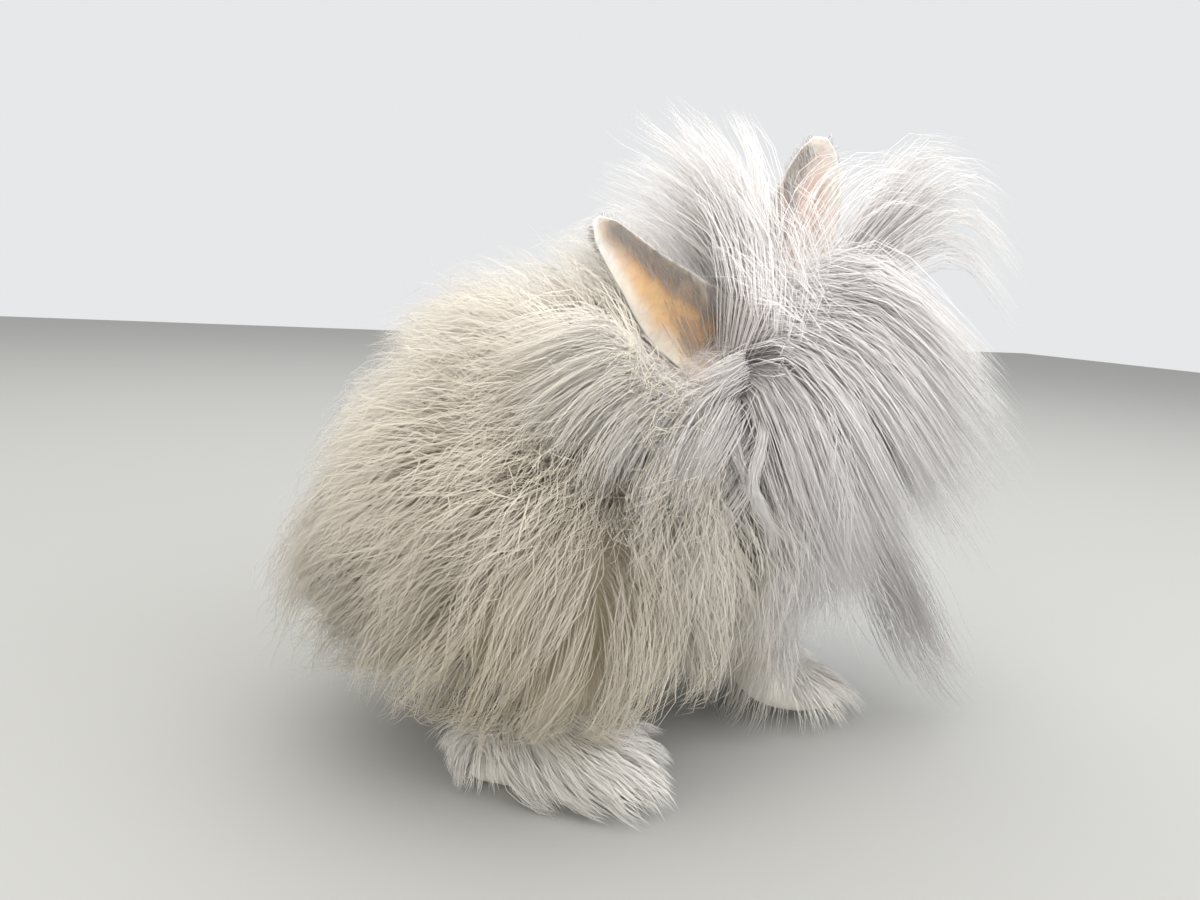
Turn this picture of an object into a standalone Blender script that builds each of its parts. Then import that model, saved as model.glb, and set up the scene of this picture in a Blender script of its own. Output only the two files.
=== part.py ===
"""Angora rabbit, life size, crouching with its head turned and tilted over its right shoulder.

Metres, +Z up, +X the way the body faces, +Y the rabbit's left. The feet stand on Z = 0.
Each part of the body is a rounded core with long, flat, tapered locks of wool fused to it.
A part that grows from another sits in a socket of its own shape, GAP wider all round.
"""

import math
import random

import bmesh
import bpy
from mathutils import Matrix, Vector
from mathutils.bvhtree import BVHTree

GAP = 0.0004
FACE_CLEARANCE = 0.006
LOCK_CLEARANCE = 0.0012
ROOT_CLEARANCE = 0.003
FLOOR_CLEARANCE = 0.004
DOWN = Vector((0.0, 0.0, -1.0))

# Wool, from the skin to the tips, and how much of it is solid core.
BACK_WOOL = 0.076
SIDE_WOOL = 0.064
CORE_SHARE = 0.42

# Trunk of the crouching body: the hindmost and foremost points of the skin, and its middle.
RUMP_X = -0.086
CHEST_X = 0.134
TRUNK_HALF_WIDTH = 0.070
TRUNK_HALF_HEIGHT = 0.066
TRUNK_MIDDLE_Z = 0.128

# Above this height the neck's wool stands up as tufts.
NAPE_Z = 0.200

# Head: a point between the ear roots on top of the skull, and how the head is turned.
CROWN = Vector((0.125, -0.005, 0.222))
HEAD_YAW = math.radians(-18.0)
HEAD_PITCH = math.radians(43.0)
HEAD_ROLL = math.radians(44.0)
HEAD_LENGTH = 0.112
HEAD_HALF_WIDTH = 0.028

EYE_RADIUS = 0.0092
EAR_WIDTH = 0.044
EAR_WALL = 0.0030
EAR_ROOT_SPREAD = 0.020

HIND_FOOT_LENGTH = 0.090
HIND_FOOT_SPLAY = math.radians(24.0)
CLAW_LENGTH = 0.011

SEED = 11


def clear_scene():
    """Removes whatever the file held."""
    for obj in list(bpy.data.objects):
        bpy.data.objects.remove(obj)


def material(name, colour, roughness):
    """A plain finish with the part's colour."""
    made = bpy.data.materials.get(name) or bpy.data.materials.new(name)
    made.use_nodes = True
    shader = made.node_tree.nodes["Principled BSDF"]
    shader.inputs["Base Color"].default_value = (*colour, 1.0)
    shader.inputs["Roughness"].default_value = roughness
    shader.inputs["Metallic"].default_value = 0.0
    return made


WOOL = ("wool", (0.52, 0.47, 0.40), 0.9)
FACE_WOOL = ("face_wool", (0.56, 0.53, 0.50), 0.9)
LEG_WOOL = ("leg_wool", (0.60, 0.55, 0.48), 0.9)
FOOT_WOOL = ("foot_wool", (0.72, 0.69, 0.62), 0.9)
EAR_SKIN = ("ear_skin", (0.78, 0.52, 0.36), 0.7)
EYE_GLASS = ("eye", (0.09, 0.06, 0.06), 0.1)


def new_object(name, vertices, faces, grow=0.0):
    """A mesh object of triangles from points and faces, turned outwards and grown all round."""
    mesh = bpy.data.meshes.new(name)
    fans = [(face[0], face[k], face[k + 1]) for face in faces for k in range(1, len(face) - 1)]
    mesh.from_pydata([tuple(v) for v in vertices], [], fans)
    work = bmesh.new()
    work.from_mesh(mesh)
    bmesh.ops.recalc_face_normals(work, faces=work.faces)
    work.normal_update()
    if grow:
        steps = [vertex.normal * grow * vertex.calc_shell_factor() for vertex in work.verts]
        for vertex, step in zip(work.verts, steps):
            vertex.co += step
    work.to_mesh(mesh)
    work.free()
    obj = bpy.data.objects.new(name, mesh)
    bpy.context.scene.collection.objects.link(obj)
    return obj


def value_at(stations, t, column):
    """Reads one column of a list of stations at t, on a straight line between its neighbours."""
    for low, high in zip(stations, stations[1:]):
        if t <= high[0]:
            share = (t - low[0]) / (high[0] - low[0])
            share = max(0.0, min(1.0, share))
            return low[column] + (high[column] - low[column]) * share
    return stations[-1][column]


def curve_point(points, t):
    """A point at t, from 0 to 1, on a smooth Catmull-Rom curve through the points."""
    spans = len(points) - 1
    at = min(t * spans, spans - 1e-9)
    i = int(at)
    u = at - i
    before = points[i - 1] if i else points[0] * 2 - points[1]
    after = points[i + 2] if i + 2 <= spans else points[-1] * 2 - points[-2]
    a, b = points[i], points[i + 1]
    return 0.5 * (
        2 * a
        + (b - before) * u
        + (2 * before - 5 * a + 4 * b - after) * u * u
        + (3 * a - before - 3 * b + after) * u * u * u
    )


def body_mesh(path, sizes, side, rings, around):
    """Points and faces of a rounded body along a path.

    sizes gives (t, half width, half height) and side is the direction of the width.
    """
    vertices, faces = [], []
    for k in range(rings):
        t = 0.5 - 0.5 * math.cos(math.pi * (k + 0.5) / rings)
        ahead = curve_point(path, min(1.0, t + 0.01)) - curve_point(path, max(0.0, t - 0.01))
        ahead.normalize()
        centre = curve_point(path, t)
        across = (side - ahead * side.dot(ahead)).normalized()
        rise = across.cross(ahead)
        half_width, half_height = value_at(sizes, t, 1), value_at(sizes, t, 2)
        for j in range(around):
            angle = math.tau * j / around
            spoke = across * half_width * math.cos(angle) + rise * half_height * math.sin(angle)
            vertices.append(centre + spoke)
    for k in range(rings - 1):
        for j in range(around):
            n = (j + 1) % around
            faces.append((k * around + j, k * around + n, (k + 1) * around + n, (k + 1) * around + j))
    vertices += [curve_point(path, 0.0), curve_point(path, 1.0)]
    first, last = len(vertices) - 2, len(vertices) - 1
    top = (rings - 1) * around
    for j in range(around):
        n = (j + 1) % around
        faces.append((first, n, j))
        faces.append((last, top + j, top + n))
    return vertices, faces


def ball_mesh(centre, radii, axes, rings=8, around=12):
    """Points and faces of an ellipsoid; axes is a 3x3 matrix whose columns are its axes."""
    vertices, faces = [], []
    for k in range(1, rings):
        polar = math.pi * k / rings
        for j in range(around):
            turn = math.tau * j / around
            x = radii[0] * math.sin(polar) * math.cos(turn)
            y = radii[1] * math.sin(polar) * math.sin(turn)
            vertices.append(centre + axes @ Vector((x, y, radii[2] * math.cos(polar))))
    for k in range(rings - 2):
        for j in range(around):
            n = (j + 1) % around
            faces.append((k * around + j, k * around + n, (k + 1) * around + n, (k + 1) * around + j))
    vertices.append(centre + axes @ Vector((0, 0, radii[2])))
    vertices.append(centre - axes @ Vector((0, 0, radii[2])))
    top, bottom = len(vertices) - 2, len(vertices) - 1
    low = (rings - 2) * around
    for j in range(around):
        n = (j + 1) % around
        faces.append((top, j, n))
        faces.append((bottom, low + n, low + j))
    return vertices, faces


def head_axes():
    """The head's axes: its face direction, its left and its top."""
    face = Vector(
        (
            math.cos(HEAD_PITCH) * math.cos(HEAD_YAW),
            math.cos(HEAD_PITCH) * math.sin(HEAD_YAW),
            -math.sin(HEAD_PITCH),
        )
    )
    level_left = Vector((-math.sin(HEAD_YAW), math.cos(HEAD_YAW), 0.0))
    level_top = face.cross(level_left)
    left = level_left * math.cos(HEAD_ROLL) + level_top * math.sin(HEAD_ROLL)
    return face, left, face.cross(left)


FACE, LEFT, TOP = head_axes()


def on_head(forward, left, top):
    """A point given in the head's own axes, measured from the crown."""
    return CROWN + FACE * forward + LEFT * left + TOP * top


def run_boolean(obj, operation, solver, other=None, collection=None):
    """Applies one Boolean to an object's mesh."""
    modifier = obj.modifiers.new("shape", "BOOLEAN")
    modifier.operation = operation
    modifier.solver = solver
    if collection is None:
        modifier.object = other
    else:
        modifier.operand_type = "COLLECTION"
        modifier.collection = collection
    graph = bpy.context.evaluated_depsgraph_get()
    mesh = bpy.data.meshes.new_from_object(obj.evaluated_get(graph))
    obj.modifiers.clear()
    obj.data = mesh


def cut(obj, shape, grow=0.0):
    """Takes a shape, grown all round, out of an object."""
    cutter = new_object("cutter", *shape, grow)
    run_boolean(obj, "DIFFERENCE", "MANIFOLD", other=cutter)
    bpy.data.objects.remove(cutter)


def fuse(obj, pieces):
    """Joins closed pieces to an object in one union and keeps its outer surface."""
    if not pieces:
        return
    group = bpy.data.collections.new("pieces")
    bpy.context.scene.collection.children.link(group)
    for piece in pieces:
        bpy.context.scene.collection.objects.unlink(piece)
        group.objects.link(piece)
    run_boolean(obj, "UNION", "MANIFOLD", collection=group)
    for piece in pieces:
        bpy.data.objects.remove(piece)
    bpy.data.collections.remove(group)
    keep_largest(obj)


def keep_largest(obj):
    """Keeps the largest closed surface of a mesh, so that no hollow or scrap is left."""
    work = bmesh.new()
    work.from_mesh(obj.data)
    unseen = set(work.verts)
    islands = []
    while unseen:
        stack = [unseen.pop()]
        island = set(stack)
        while stack:
            for edge in stack.pop().link_edges:
                for vertex in edge.verts:
                    if vertex in unseen:
                        unseen.discard(vertex)
                        island.add(vertex)
                        stack.append(vertex)
        islands.append(island)
    islands.sort(key=len)
    scraps = [v for island in islands[:-1] for v in island]
    bmesh.ops.delete(work, geom=scraps, context="VERTS")
    work.to_mesh(obj.data)
    work.free()


def tree_of(vertices, faces):
    """A tree for quick tests of whether two shapes cross."""
    return BVHTree.FromPolygons([tuple(v) for v in vertices], faces)


def tree_of_object(obj):
    """The same, of an object's mesh."""
    return tree_of([v.co for v in obj.data.vertices], [tuple(p.vertices) for p in obj.data.polygons])


# The rings of a short and of a long lock: how far along it they sit, and the share of its width and
# thickness there.
BODY_RINGS = ((0.0, 0.36, 1.00), (0.34, 1.00, 0.95), (0.68, 0.66, 0.50))
LONG_RINGS = ((0.0, 0.30, 1.00), (0.34, 1.00, 0.95), (0.68, 0.66, 0.50))
ARC_RINGS = ((0.0, 0.34, 1.00), (0.26, 0.86, 1.00), (0.52, 1.00, 0.80), (0.78, 0.64, 0.50))
LOCK_CUP = 0.26
THINNEST = 0.0004

# The kinds of lock: their rings, their thickness and how deep they are rooted.
BODY_LOCK = {"rings": BODY_RINGS, "thickness": 0.011, "depth": 0.009}
NAPE_LOCK = {"rings": LONG_RINGS, "thickness": 0.011, "depth": 0.009}
HEAD_LOCK = {"rings": LONG_RINGS, "thickness": 0.008, "depth": 0.006}
FOOT_LOCK = {"rings": BODY_RINGS, "thickness": 0.006, "depth": 0.006}


def lock_line(root, normal, along, sizes):
    """The four control points of a lock: under the skin, knee, bend and tip."""
    across = normal.cross(along).normalized()
    base = root - normal * sizes["depth"]
    knee = root + normal * sizes["rise"] * 0.66 + along * sizes["run"] * 0.06
    bend = root + normal * sizes["rise"] * 1.10 + along * sizes["run"] * 0.52
    bend += DOWN * sizes["drop"] * 0.25 + across * sizes["sweep"] * 0.3
    tip = root + normal * (sizes["rise"] - sizes["curl"]) + along * sizes["run"]
    tip += DOWN * sizes["drop"] + across * sizes["sweep"]
    return base, knee, bend, tip


def line_through(start, first, second, tip):
    """The four control points of a curve that starts at start, passes two points and ends at tip."""
    near = (start * -5 + first * 18 - second * 9 + tip * 2) / 6
    far = (start * 2 - first * 9 + second * 18 - tip * 5) / 6
    return start, near, far, tip


def on_line(line, t):
    """A point on a cubic Bezier curve."""
    base, knee, bend, tip = line
    u = 1 - t
    return base * u**3 + knee * 3 * u * u * t + bend * 3 * u * t * t + tip * t**3


def lock_mesh(root, normal, along, sizes, grow=0.0):
    """Points and faces of one lock: a flat, cupped, tapered blade that leaves the skin and bends over.

    sizes holds its rise above the root, its run along the lie, the curl back to the skin, its drop,
    its sideways sweep, its width, its thickness and how deep it is rooted. A lock that is laid through
    points holds its line instead of the first five.
    """
    line = sizes.get("line") or lock_line(root, normal, along, sizes)
    across = normal.cross(along).normalized()
    vertices = []
    rings = sizes["rings"]
    for t, wide, thick in rings:
        ahead = (on_line(line, t + 0.02) - on_line(line, max(0.0, t - 0.02))).normalized()
        side = (across - ahead * across.dot(ahead)).normalized()
        out = ahead.cross(side)
        half = sizes["width"] * wide / 2 + grow
        deep = max(sizes["thickness"] * thick / 2, THINNEST) + grow
        fold = out * LOCK_CUP * half * (0.3 if t == 0 else 1.0)
        centre = on_line(line, t)
        edges = centre - fold
        vertices += [edges - side * half, centre + out * deep, edges + side * half, centre - out * deep]
    vertices.append(line[3] + (line[3] - on_line(line, 0.9)).normalized() * grow)
    low = min(vertex.z for vertex in vertices)
    if low < FLOOR_CLEARANCE:
        squeeze_above(vertices, low, root.z)
    faces = [(0, 1, 2, 3)]
    for k in range(len(rings) - 1):
        for j in range(4):
            n = (j + 1) % 4
            faces.append((4 * k + n, 4 * k + j, 4 * k + 4 + j, 4 * k + 4 + n))
    last, top = len(vertices) - 1, 4 * (len(rings) - 1)
    for j in range(4):
        faces.append((top + (j + 1) % 4, top + j, last))
    return vertices, faces


def squeeze_above(vertices, low, high):
    """Draws in what hangs under a height, so that its lowest point clears the floor."""
    for vertex in vertices:
        if vertex.z < high:
            share = (high - vertex.z) / (high - low)
            vertex.z = high - (high - FLOOR_CLEARANCE) * share


class Part:
    """One node: its core, the locks accepted on it, and trees for the crossing tests."""

    def __init__(self, name, core, finish):
        self.name = name
        self.core = core
        self.core.name = name
        self.core.data.name = name
        self.finish = finish
        self.locks = []
        self.tree = tree_of_object(core)
        self.trees = [self.tree]

    def crosses(self, tree):
        """True if a shape crosses the core or a lock of this part."""
        return any(tree.overlap(own) for own in self.trees)


def next_root(polygons, areas, points, taken, chance, tries=18):
    """A root and normal far from those taken: the farthest of a few tries spread over the faces."""
    best, best_distance = None, -1.0
    for polygon in chance.choices(polygons, areas, k=tries):
        weights = [chance.random() + 0.05 for _ in polygon.vertices]
        point = Vector()
        for weight, index in zip(weights, polygon.vertices):
            point += points[index].co * (weight / sum(weights))
        nearest = min(((point - other).length for other in taken), default=1.0)
        if nearest > best_distance:
            best, best_distance = (point, polygon.normal.copy()), nearest
    return best


def tangent(direction, normal):
    """The part of a direction that lies in the skin."""
    flat = direction - normal * direction.dot(normal)
    if flat.length < 1e-4:
        flat = normal.orthogonal()
    return flat.normalized()


# What is tried on a lock that crosses another part: its length, and how much of its run is turned
# upwards.
LOCK_TRIES = (
    (1.0, 0.0),
    (1.0, 0.25),
    (0.85, 0.1),
    (0.85, 0.45),
    (0.7, 0.2),
    (0.7, 0.6),
    (0.5, 0.3),
    (0.4, 0.0),
)

# The lengths that are tried on a lock laid through points.
ARC_TRIES = (1.0, 0.92, 0.84, 0.76, 0.66, 0.56)


def changed(sizes, length, lift):
    """The same lock made shorter, or raised further off the skin."""
    trial = dict(sizes)
    for key in ("rise", "run", "drop", "sweep", "curl"):
        trial[key] = sizes[key] * length
    trial["rise"] += sizes["run"] * lift * length
    trial["run"] *= 1 - lift
    trial["curl"] *= 1 - lift
    trial["width"] = sizes["width"] * (0.6 + 0.4 * length)
    return trial


def fitting_lock(part, others, root, normal, shape, chance):
    """A lock at a root that is clear of the other parts, shortened or raised where it has to be."""
    sizes, along = shape(root, normal, chance)
    for length, lift in LOCK_TRIES:
        trial = changed(sizes, length, lift)
        tested = tree_of(*lock_mesh(root, normal, along, trial, grow=LOCK_CLEARANCE / 2))
        if not any(other.crosses(tested) for other in others):
            part.trees.append(tested)
            return root, normal, along, trial
    return None


def lay_lock(part, others, points, width):
    """A long lock through given points, rooted in the core and shortened to clear the other parts."""
    root, normal = part.tree.find_nearest(points[0])[:2]
    along = tangent(points[3] - root, normal)
    for length in ARC_TRIES:
        passed = [root + (point - root) * length for point in points[1:]]
        sizes = {
            "line": line_through(root - normal * 0.006, *passed),
            "rings": ARC_RINGS,
            "width": width * (0.5 + 0.5 * length),
            "thickness": 0.009,
        }
        tested = tree_of(*lock_mesh(root, normal, along, sizes, grow=LOCK_CLEARANCE / 2))
        if not any(other.crosses(tested) for other in others):
            part.trees.append(tested)
            part.locks.append((root, normal, along, sizes))
            return


def grow_locks(part, others, count, shape, wanted, chance):
    """Grows a number of locks evenly over the open faces of a part's core."""
    open_faces = []
    for polygon in part.core.data.polygons:
        covered = any(other.tree.find_nearest(polygon.center, ROOT_CLEARANCE)[0] for other in others)
        if not covered and wanted(polygon.center, polygon.normal):
            open_faces.append(polygon)
    areas = [polygon.area for polygon in open_faces]
    taken = []
    laid = len(part.locks)
    for _ in range(count * 2):
        root, normal = next_root(open_faces, areas, part.core.data.vertices, taken, chance)
        taken.append(root)
        made = fitting_lock(part, others, root, normal, shape, chance)
        if made:
            part.locks.append(made)
        if len(part.locks) == laid + count:
            break


def trunk_shape():
    """The trunk: a deep, rounded body, highest over the shoulders and sloping to a low rump."""
    wool_side = SIDE_WOOL * CORE_SHARE
    wool_back = BACK_WOOL * CORE_SHARE
    path = [
        Vector((RUMP_X - wool_side, 0, TRUNK_MIDDLE_Z - 0.030)),
        Vector((RUMP_X * 0.45, 0, TRUNK_MIDDLE_Z - 0.006)),
        Vector((0.032, 0, TRUNK_MIDDLE_Z + 0.006)),
        Vector((CHEST_X + wool_side * 0.6, 0, TRUNK_MIDDLE_Z + 0.004)),
    ]
    wide, high = TRUNK_HALF_WIDTH + wool_side, TRUNK_HALF_HEIGHT + wool_back * 0.8
    sizes = [
        (0.00, wide * 0.18, high * 0.16),
        (0.06, wide * 0.50, high * 0.42),
        (0.18, wide * 0.84, high * 0.70),
        (0.35, wide, high * 0.94),
        (0.58, wide * 0.97, high),
        (0.78, wide * 0.80, high * 0.86),
        (0.92, wide * 0.50, high * 0.60),
        (1.00, wide * 0.20, high * 0.22),
    ]
    return body_mesh(path, sizes, Vector((0, 1, 0)), 13, 20)


def neck_shape():
    """The neck, from inside the shoulders up to the back of the skull."""
    path = [Vector((0.062, 0.002, 0.150)), Vector((0.088, 0.006, 0.185)), on_head(0.004, 0.0, -0.026)]
    sizes = [
        (0.0, 0.030, 0.030),
        (0.2, 0.054, 0.050),
        (0.55, 0.045, 0.042),
        (0.85, 0.031, 0.029),
        (1.0, 0.016, 0.015),
    ]
    return body_mesh(path, sizes, Vector((0, 1, 0)), 9, 16)


# The skull seen from the side: share of its length, half width and half height over HEAD_HALF_WIDTH,
# and how far its middle lies under the crown.
SKULL = (
    (0.00, 0.36, 0.36, -0.022),
    (0.06, 0.66, 0.66, -0.023),
    (0.20, 0.90, 0.92, -0.0235),
    (0.42, 1.00, 0.98, -0.0245),
    (0.60, 0.86, 0.90, -0.0265),
    (0.76, 0.66, 0.76, -0.0290),
    (0.90, 0.50, 0.60, -0.0315),
    (1.00, 0.26, 0.30, -0.0330),
)
OCCIPUT = -0.017


def skull_point(share, left, top):
    """A point on the head: share of its length, and offsets over its half width there."""
    return on_head(OCCIPUT + HEAD_LENGTH * share, left, value_at(SKULL, share, 3) + top)


def skull_shape():
    """The skull and muzzle as one rounded body."""
    path = [skull_point(share, 0.0, 0.0) for share in (0.0, 0.25, 0.5, 0.75, 1.0)]
    sizes = [(row[0], row[1] * HEAD_HALF_WIDTH, row[2] * HEAD_HALF_WIDTH) for row in SKULL]
    return body_mesh(path, sizes, LEFT, 12, 16)


def head_matrix():
    """The head's axes as the columns of a matrix."""
    return Matrix((FACE, LEFT, TOP)).transposed()


EYE_SHARE = 0.47
EYE_SIDE = 0.0205
EYE_TOP = 0.0065


def eye_centre(side):
    """side is -1 on the right and 1 on the left."""
    return skull_point(EYE_SHARE, side * EYE_SIDE, EYE_TOP)


def ring_mesh(centre, axis, radius, tube, around=12, sides=4, squash=1.0):
    """Points and faces of a torus, for the eyelids."""
    first = (FACE - axis * FACE.dot(axis)).normalized()
    second = axis.cross(first)
    vertices, faces = [], []
    for k in range(around):
        turn = math.tau * k / around
        spoke = first * math.cos(turn) + second * math.sin(turn) * squash
        for j in range(sides):
            roll = math.tau * j / sides
            out = spoke * (radius + tube * math.cos(roll))
            vertices.append(centre + out + axis * tube * math.sin(roll))
    for k in range(around):
        for j in range(sides):
            a, b = k * sides + j, k * sides + (j + 1) % sides
            c, d = ((k + 1) % around) * sides + (j + 1) % sides, ((k + 1) % around) * sides + j
            faces.append((a, b, c, d))
    return vertices, faces


# The ear laid flat: share of its length, and its half width there over EAR_WIDTH / 2.
EAR_OUTLINE = (
    (0.00, 0.50),
    (0.18, 0.74),
    (0.36, 0.95),
    (0.52, 1.00),
    (0.70, 0.90),
    (0.84, 0.68),
    (0.94, 0.42),
    (1.00, 0.16),
)


def ear_mesh(side, tip, opening, along=10, across=7):
    """Points and faces of one ear: a leaf rolled into a tube at its root and a shallow cup above it.

    tip is where the ear ends and opening is the way its inside faces.
    """
    root = on_head(0.002, side * EAR_ROOT_SPREAD, -0.011)
    axis = (tip - root).normalized()
    length = (tip - root).length
    face = (opening - axis * opening.dot(axis)).normalized()
    wide = axis.cross(face)
    outer, inner = [], []
    for i in range(along + 1):
        t = i / along
        half = EAR_WIDTH / 2 * value_at(EAR_OUTLINE, t, 1)
        reach = math.radians(140.0 - 86.0 * min(1.0, t / 0.40) - 22.0 * t)
        radius = half / math.sin(min(reach, math.pi / 2))
        lean = 0.009 * math.sin(math.pi * t)
        centre = root + axis * length * t - face * lean
        wall = EAR_WALL * (1.0 - 0.60 * t)
        for j in range(across + 1):
            angle = reach * (2 * j / across - 1)
            spoke = wide * math.sin(angle) - face * math.cos(angle)
            point = centre + face * radius * math.cos(reach * 0.5) + spoke * radius
            edge = abs(2 * j / across - 1) ** 3
            thick = wall * (1.0 - 0.40 * edge)
            outer.append(point + spoke * thick / 2)
            inner.append(point - spoke * thick / 2)
    row = across + 1
    shift = len(outer)
    faces = []
    for i in range(along):
        for j in range(across):
            a, b, c, d = i * row + j, i * row + j + 1, (i + 1) * row + j + 1, (i + 1) * row + j
            faces += [(a, b, c), (a, c, d)]
            faces += [(shift + a, shift + c, shift + b), (shift + a, shift + d, shift + c)]
        for j in (0, across):
            a, d = i * row + j, (i + 1) * row + j
            faces += [(a, d, shift + d), (a, shift + d, shift + a)]
    for i in (0, along):
        for j in range(across):
            a, b = i * row + j, i * row + j + 1
            faces += [(a, b, shift + b), (a, shift + b, shift + a)]
    return outer + inner, faces


NEAR_EAR_TIP = Vector((0.000, -0.040, 0.2785))
FAR_EAR_TIP = Vector((0.138, -0.004, 0.335))
NEAR_EAR_OPENING = Vector((-0.25, -0.90, -0.35))
FAR_EAR_OPENING = Vector((-0.10, -0.95, -0.10))


def thigh_shape(side):
    """The haunch: a flattened oval on the flank, side -1 on the right and 1 on the left."""
    tilt = Matrix.Rotation(math.radians(-35.0), 3, "Y")
    return ball_mesh(Vector((-0.012, side * 0.068, 0.100)), (0.056, 0.030, 0.046), tilt, 8, 16)


def hind_heel(side):
    """The middle of the heel."""
    return Vector((-0.060, side * 0.046, 0.016))


def hind_toes(side):
    """The middle of the toes, turned out by the splay."""
    ahead = Vector((math.cos(HIND_FOOT_SPLAY), side * math.sin(HIND_FOOT_SPLAY), 0.0))
    toes = hind_heel(side) + ahead * HIND_FOOT_LENGTH
    toes.z = 0.010
    return toes


def hind_foot_shape(side):
    """The long hind foot, flat on the floor from heel to toes."""
    heel, toes = hind_heel(side), hind_toes(side)
    path = [heel, heel.lerp(toes, 0.35), heel.lerp(toes, 0.7), toes]
    sizes = [
        (0.0, 0.010, 0.010),
        (0.1, 0.015, 0.016),
        (0.5, 0.0165, 0.017),
        (0.82, 0.019, 0.014),
        (1.0, 0.011, 0.008),
    ]
    return body_mesh(path, sizes, Vector((0, 1, 0)), 9, 12)


def shank_shape(side):
    """The lower leg between the hind foot and the haunch."""
    path = [
        Vector((-0.022, side * 0.060, 0.014)),
        Vector((-0.014, side * 0.064, 0.045)),
        Vector((-0.012, side * 0.068, 0.085)),
    ]
    sizes = [(0.0, 0.010, 0.012), (0.3, 0.015, 0.019), (0.8, 0.017, 0.021), (1.0, 0.008, 0.010)]
    return body_mesh(path, sizes, Vector((0, 1, 0)), 7, 10)


def foreleg_path(side):
    """Shoulder, elbow, wrist and toes."""
    out = side * 0.026
    return [
        Vector((0.088, out * 1.3, 0.098)),
        Vector((0.100, out * 1.3, 0.062)),
        Vector((0.122, out, 0.026)),
        Vector((0.168, out * 0.9, 0.010)),
    ]


def foreleg_shape(side):
    """The foreleg, from inside the chest down to a paw flat on the floor."""
    sizes = [
        (0.0, 0.010, 0.012),
        (0.15, 0.018, 0.022),
        (0.5, 0.0155, 0.017),
        (0.85, 0.0155, 0.0130),
        (1.0, 0.008, 0.007),
    ]
    return body_mesh(foreleg_path(side), sizes, Vector((0, 1, 0)), 11, 12)


def tail_shape():
    """The short tail, turned up against the rump."""
    path = [Vector((-0.088, 0, 0.082)), Vector((-0.108, 0, 0.092)), Vector((-0.116, 0, 0.126))]
    sizes = [(0.0, 0.010, 0.009), (0.3, 0.017, 0.014), (0.75, 0.016, 0.013), (1.0, 0.007, 0.006)]
    return body_mesh(path, sizes, Vector((0, 1, 0)), 7, 10)


def floor_cutter():
    """A slab under the floor that leaves the feet flat."""
    side = 0.5
    square = ((-side, -side), (side, -side), (side, side), (-side, side))
    corners = [Vector((x, y, z)) for z in (-0.1, 0.0) for x, y in square]
    faces = [(0, 3, 2, 1), (4, 5, 6, 7), (0, 1, 5, 4), (1, 2, 6, 5), (2, 3, 7, 6), (3, 0, 4, 7)]
    return corners, faces


def claws(toes, ahead, spacing, reach):
    """Four small hooked claws in front of the toes, the middle pair further out."""
    level = Vector((-ahead.y, ahead.x, 0.0))
    pieces = []
    for place in (-1.5, -0.5, 0.5, 1.5):
        tip = toes + ahead * (reach - abs(place) * 0.003) + level * place * spacing
        tip.z = 0.0042
        root = tip - ahead * CLAW_LENGTH + Vector((0, 0, 0.0012))
        path = [root, root.lerp(tip, 0.6) + Vector((0, 0, 0.0012)), tip]
        sizes = [(0.0, 0.0016, 0.0018), (0.6, 0.0014, 0.0016), (1.0, 0.0006, 0.0007)]
        pieces.append(new_object("claw", *body_mesh(path, sizes, Vector((0, 0, 1)), 3, 4)))
    return pieces


def lid_axis(side):
    """The way an eye looks."""
    return (LEFT * side * 0.93 + TOP * 0.26 + FACE * 0.26).normalized()


def build_head():
    """The skull with lids, muzzle, chin, nostrils, the line of the mouth, and sockets for eyes and ears."""
    head = new_object("head", *skull_shape())
    axes = head_matrix()
    soft = []
    for side in (-1, 1):
        lid_centre = eye_centre(side) + lid_axis(side) * EYE_RADIUS * 0.62
        lids = ring_mesh(lid_centre, lid_axis(side), EYE_RADIUS * 0.90, 0.0021, squash=0.84)
        soft.append(new_object("lid", *lids))
        pad = skull_point(0.925, side * 0.0062, -0.0035)
        soft.append(new_object("pad", *ball_mesh(pad, (0.0125, 0.0090, 0.0095), axes, 5, 8)))
    chin = skull_point(0.86, 0.0, -0.0145)
    soft.append(new_object("chin", *ball_mesh(chin, (0.0115, 0.0085, 0.0060), axes, 5, 8)))
    nose = skull_point(0.985, 0.0, 0.0030)
    soft.append(new_object("nose", *ball_mesh(nose, (0.0060, 0.0072, 0.0056), axes, 5, 8)))
    fuse(head, soft)
    for side in (-1, 1):
        cut(head, ball_mesh(eye_centre(side), (EYE_RADIUS,) * 3, axes, 8, 14), GAP)
        slit = skull_point(1.028, side * 0.0040, 0.0030)
        turn = axes @ Matrix.Rotation(math.radians(-38.0 * side), 3, "X")
        cut(head, ball_mesh(slit, (0.0040, 0.0030, 0.0009), turn, 4, 8))
    cut(head, ball_mesh(skull_point(0.960, 0.0, -0.0092), (0.0165, 0.0140, 0.0008), axes, 4, 14))
    cut(head, ball_mesh(skull_point(1.045, 0.0, -0.0060), (0.0060, 0.0007, 0.0062), axes, 4, 8))
    for side, tip, opening in ((-1, NEAR_EAR_TIP, NEAR_EAR_OPENING), (1, FAR_EAR_TIP, FAR_EAR_OPENING)):
        cut(head, ear_mesh(side, tip, opening), GAP)
    keep_largest(head)
    return head


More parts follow.
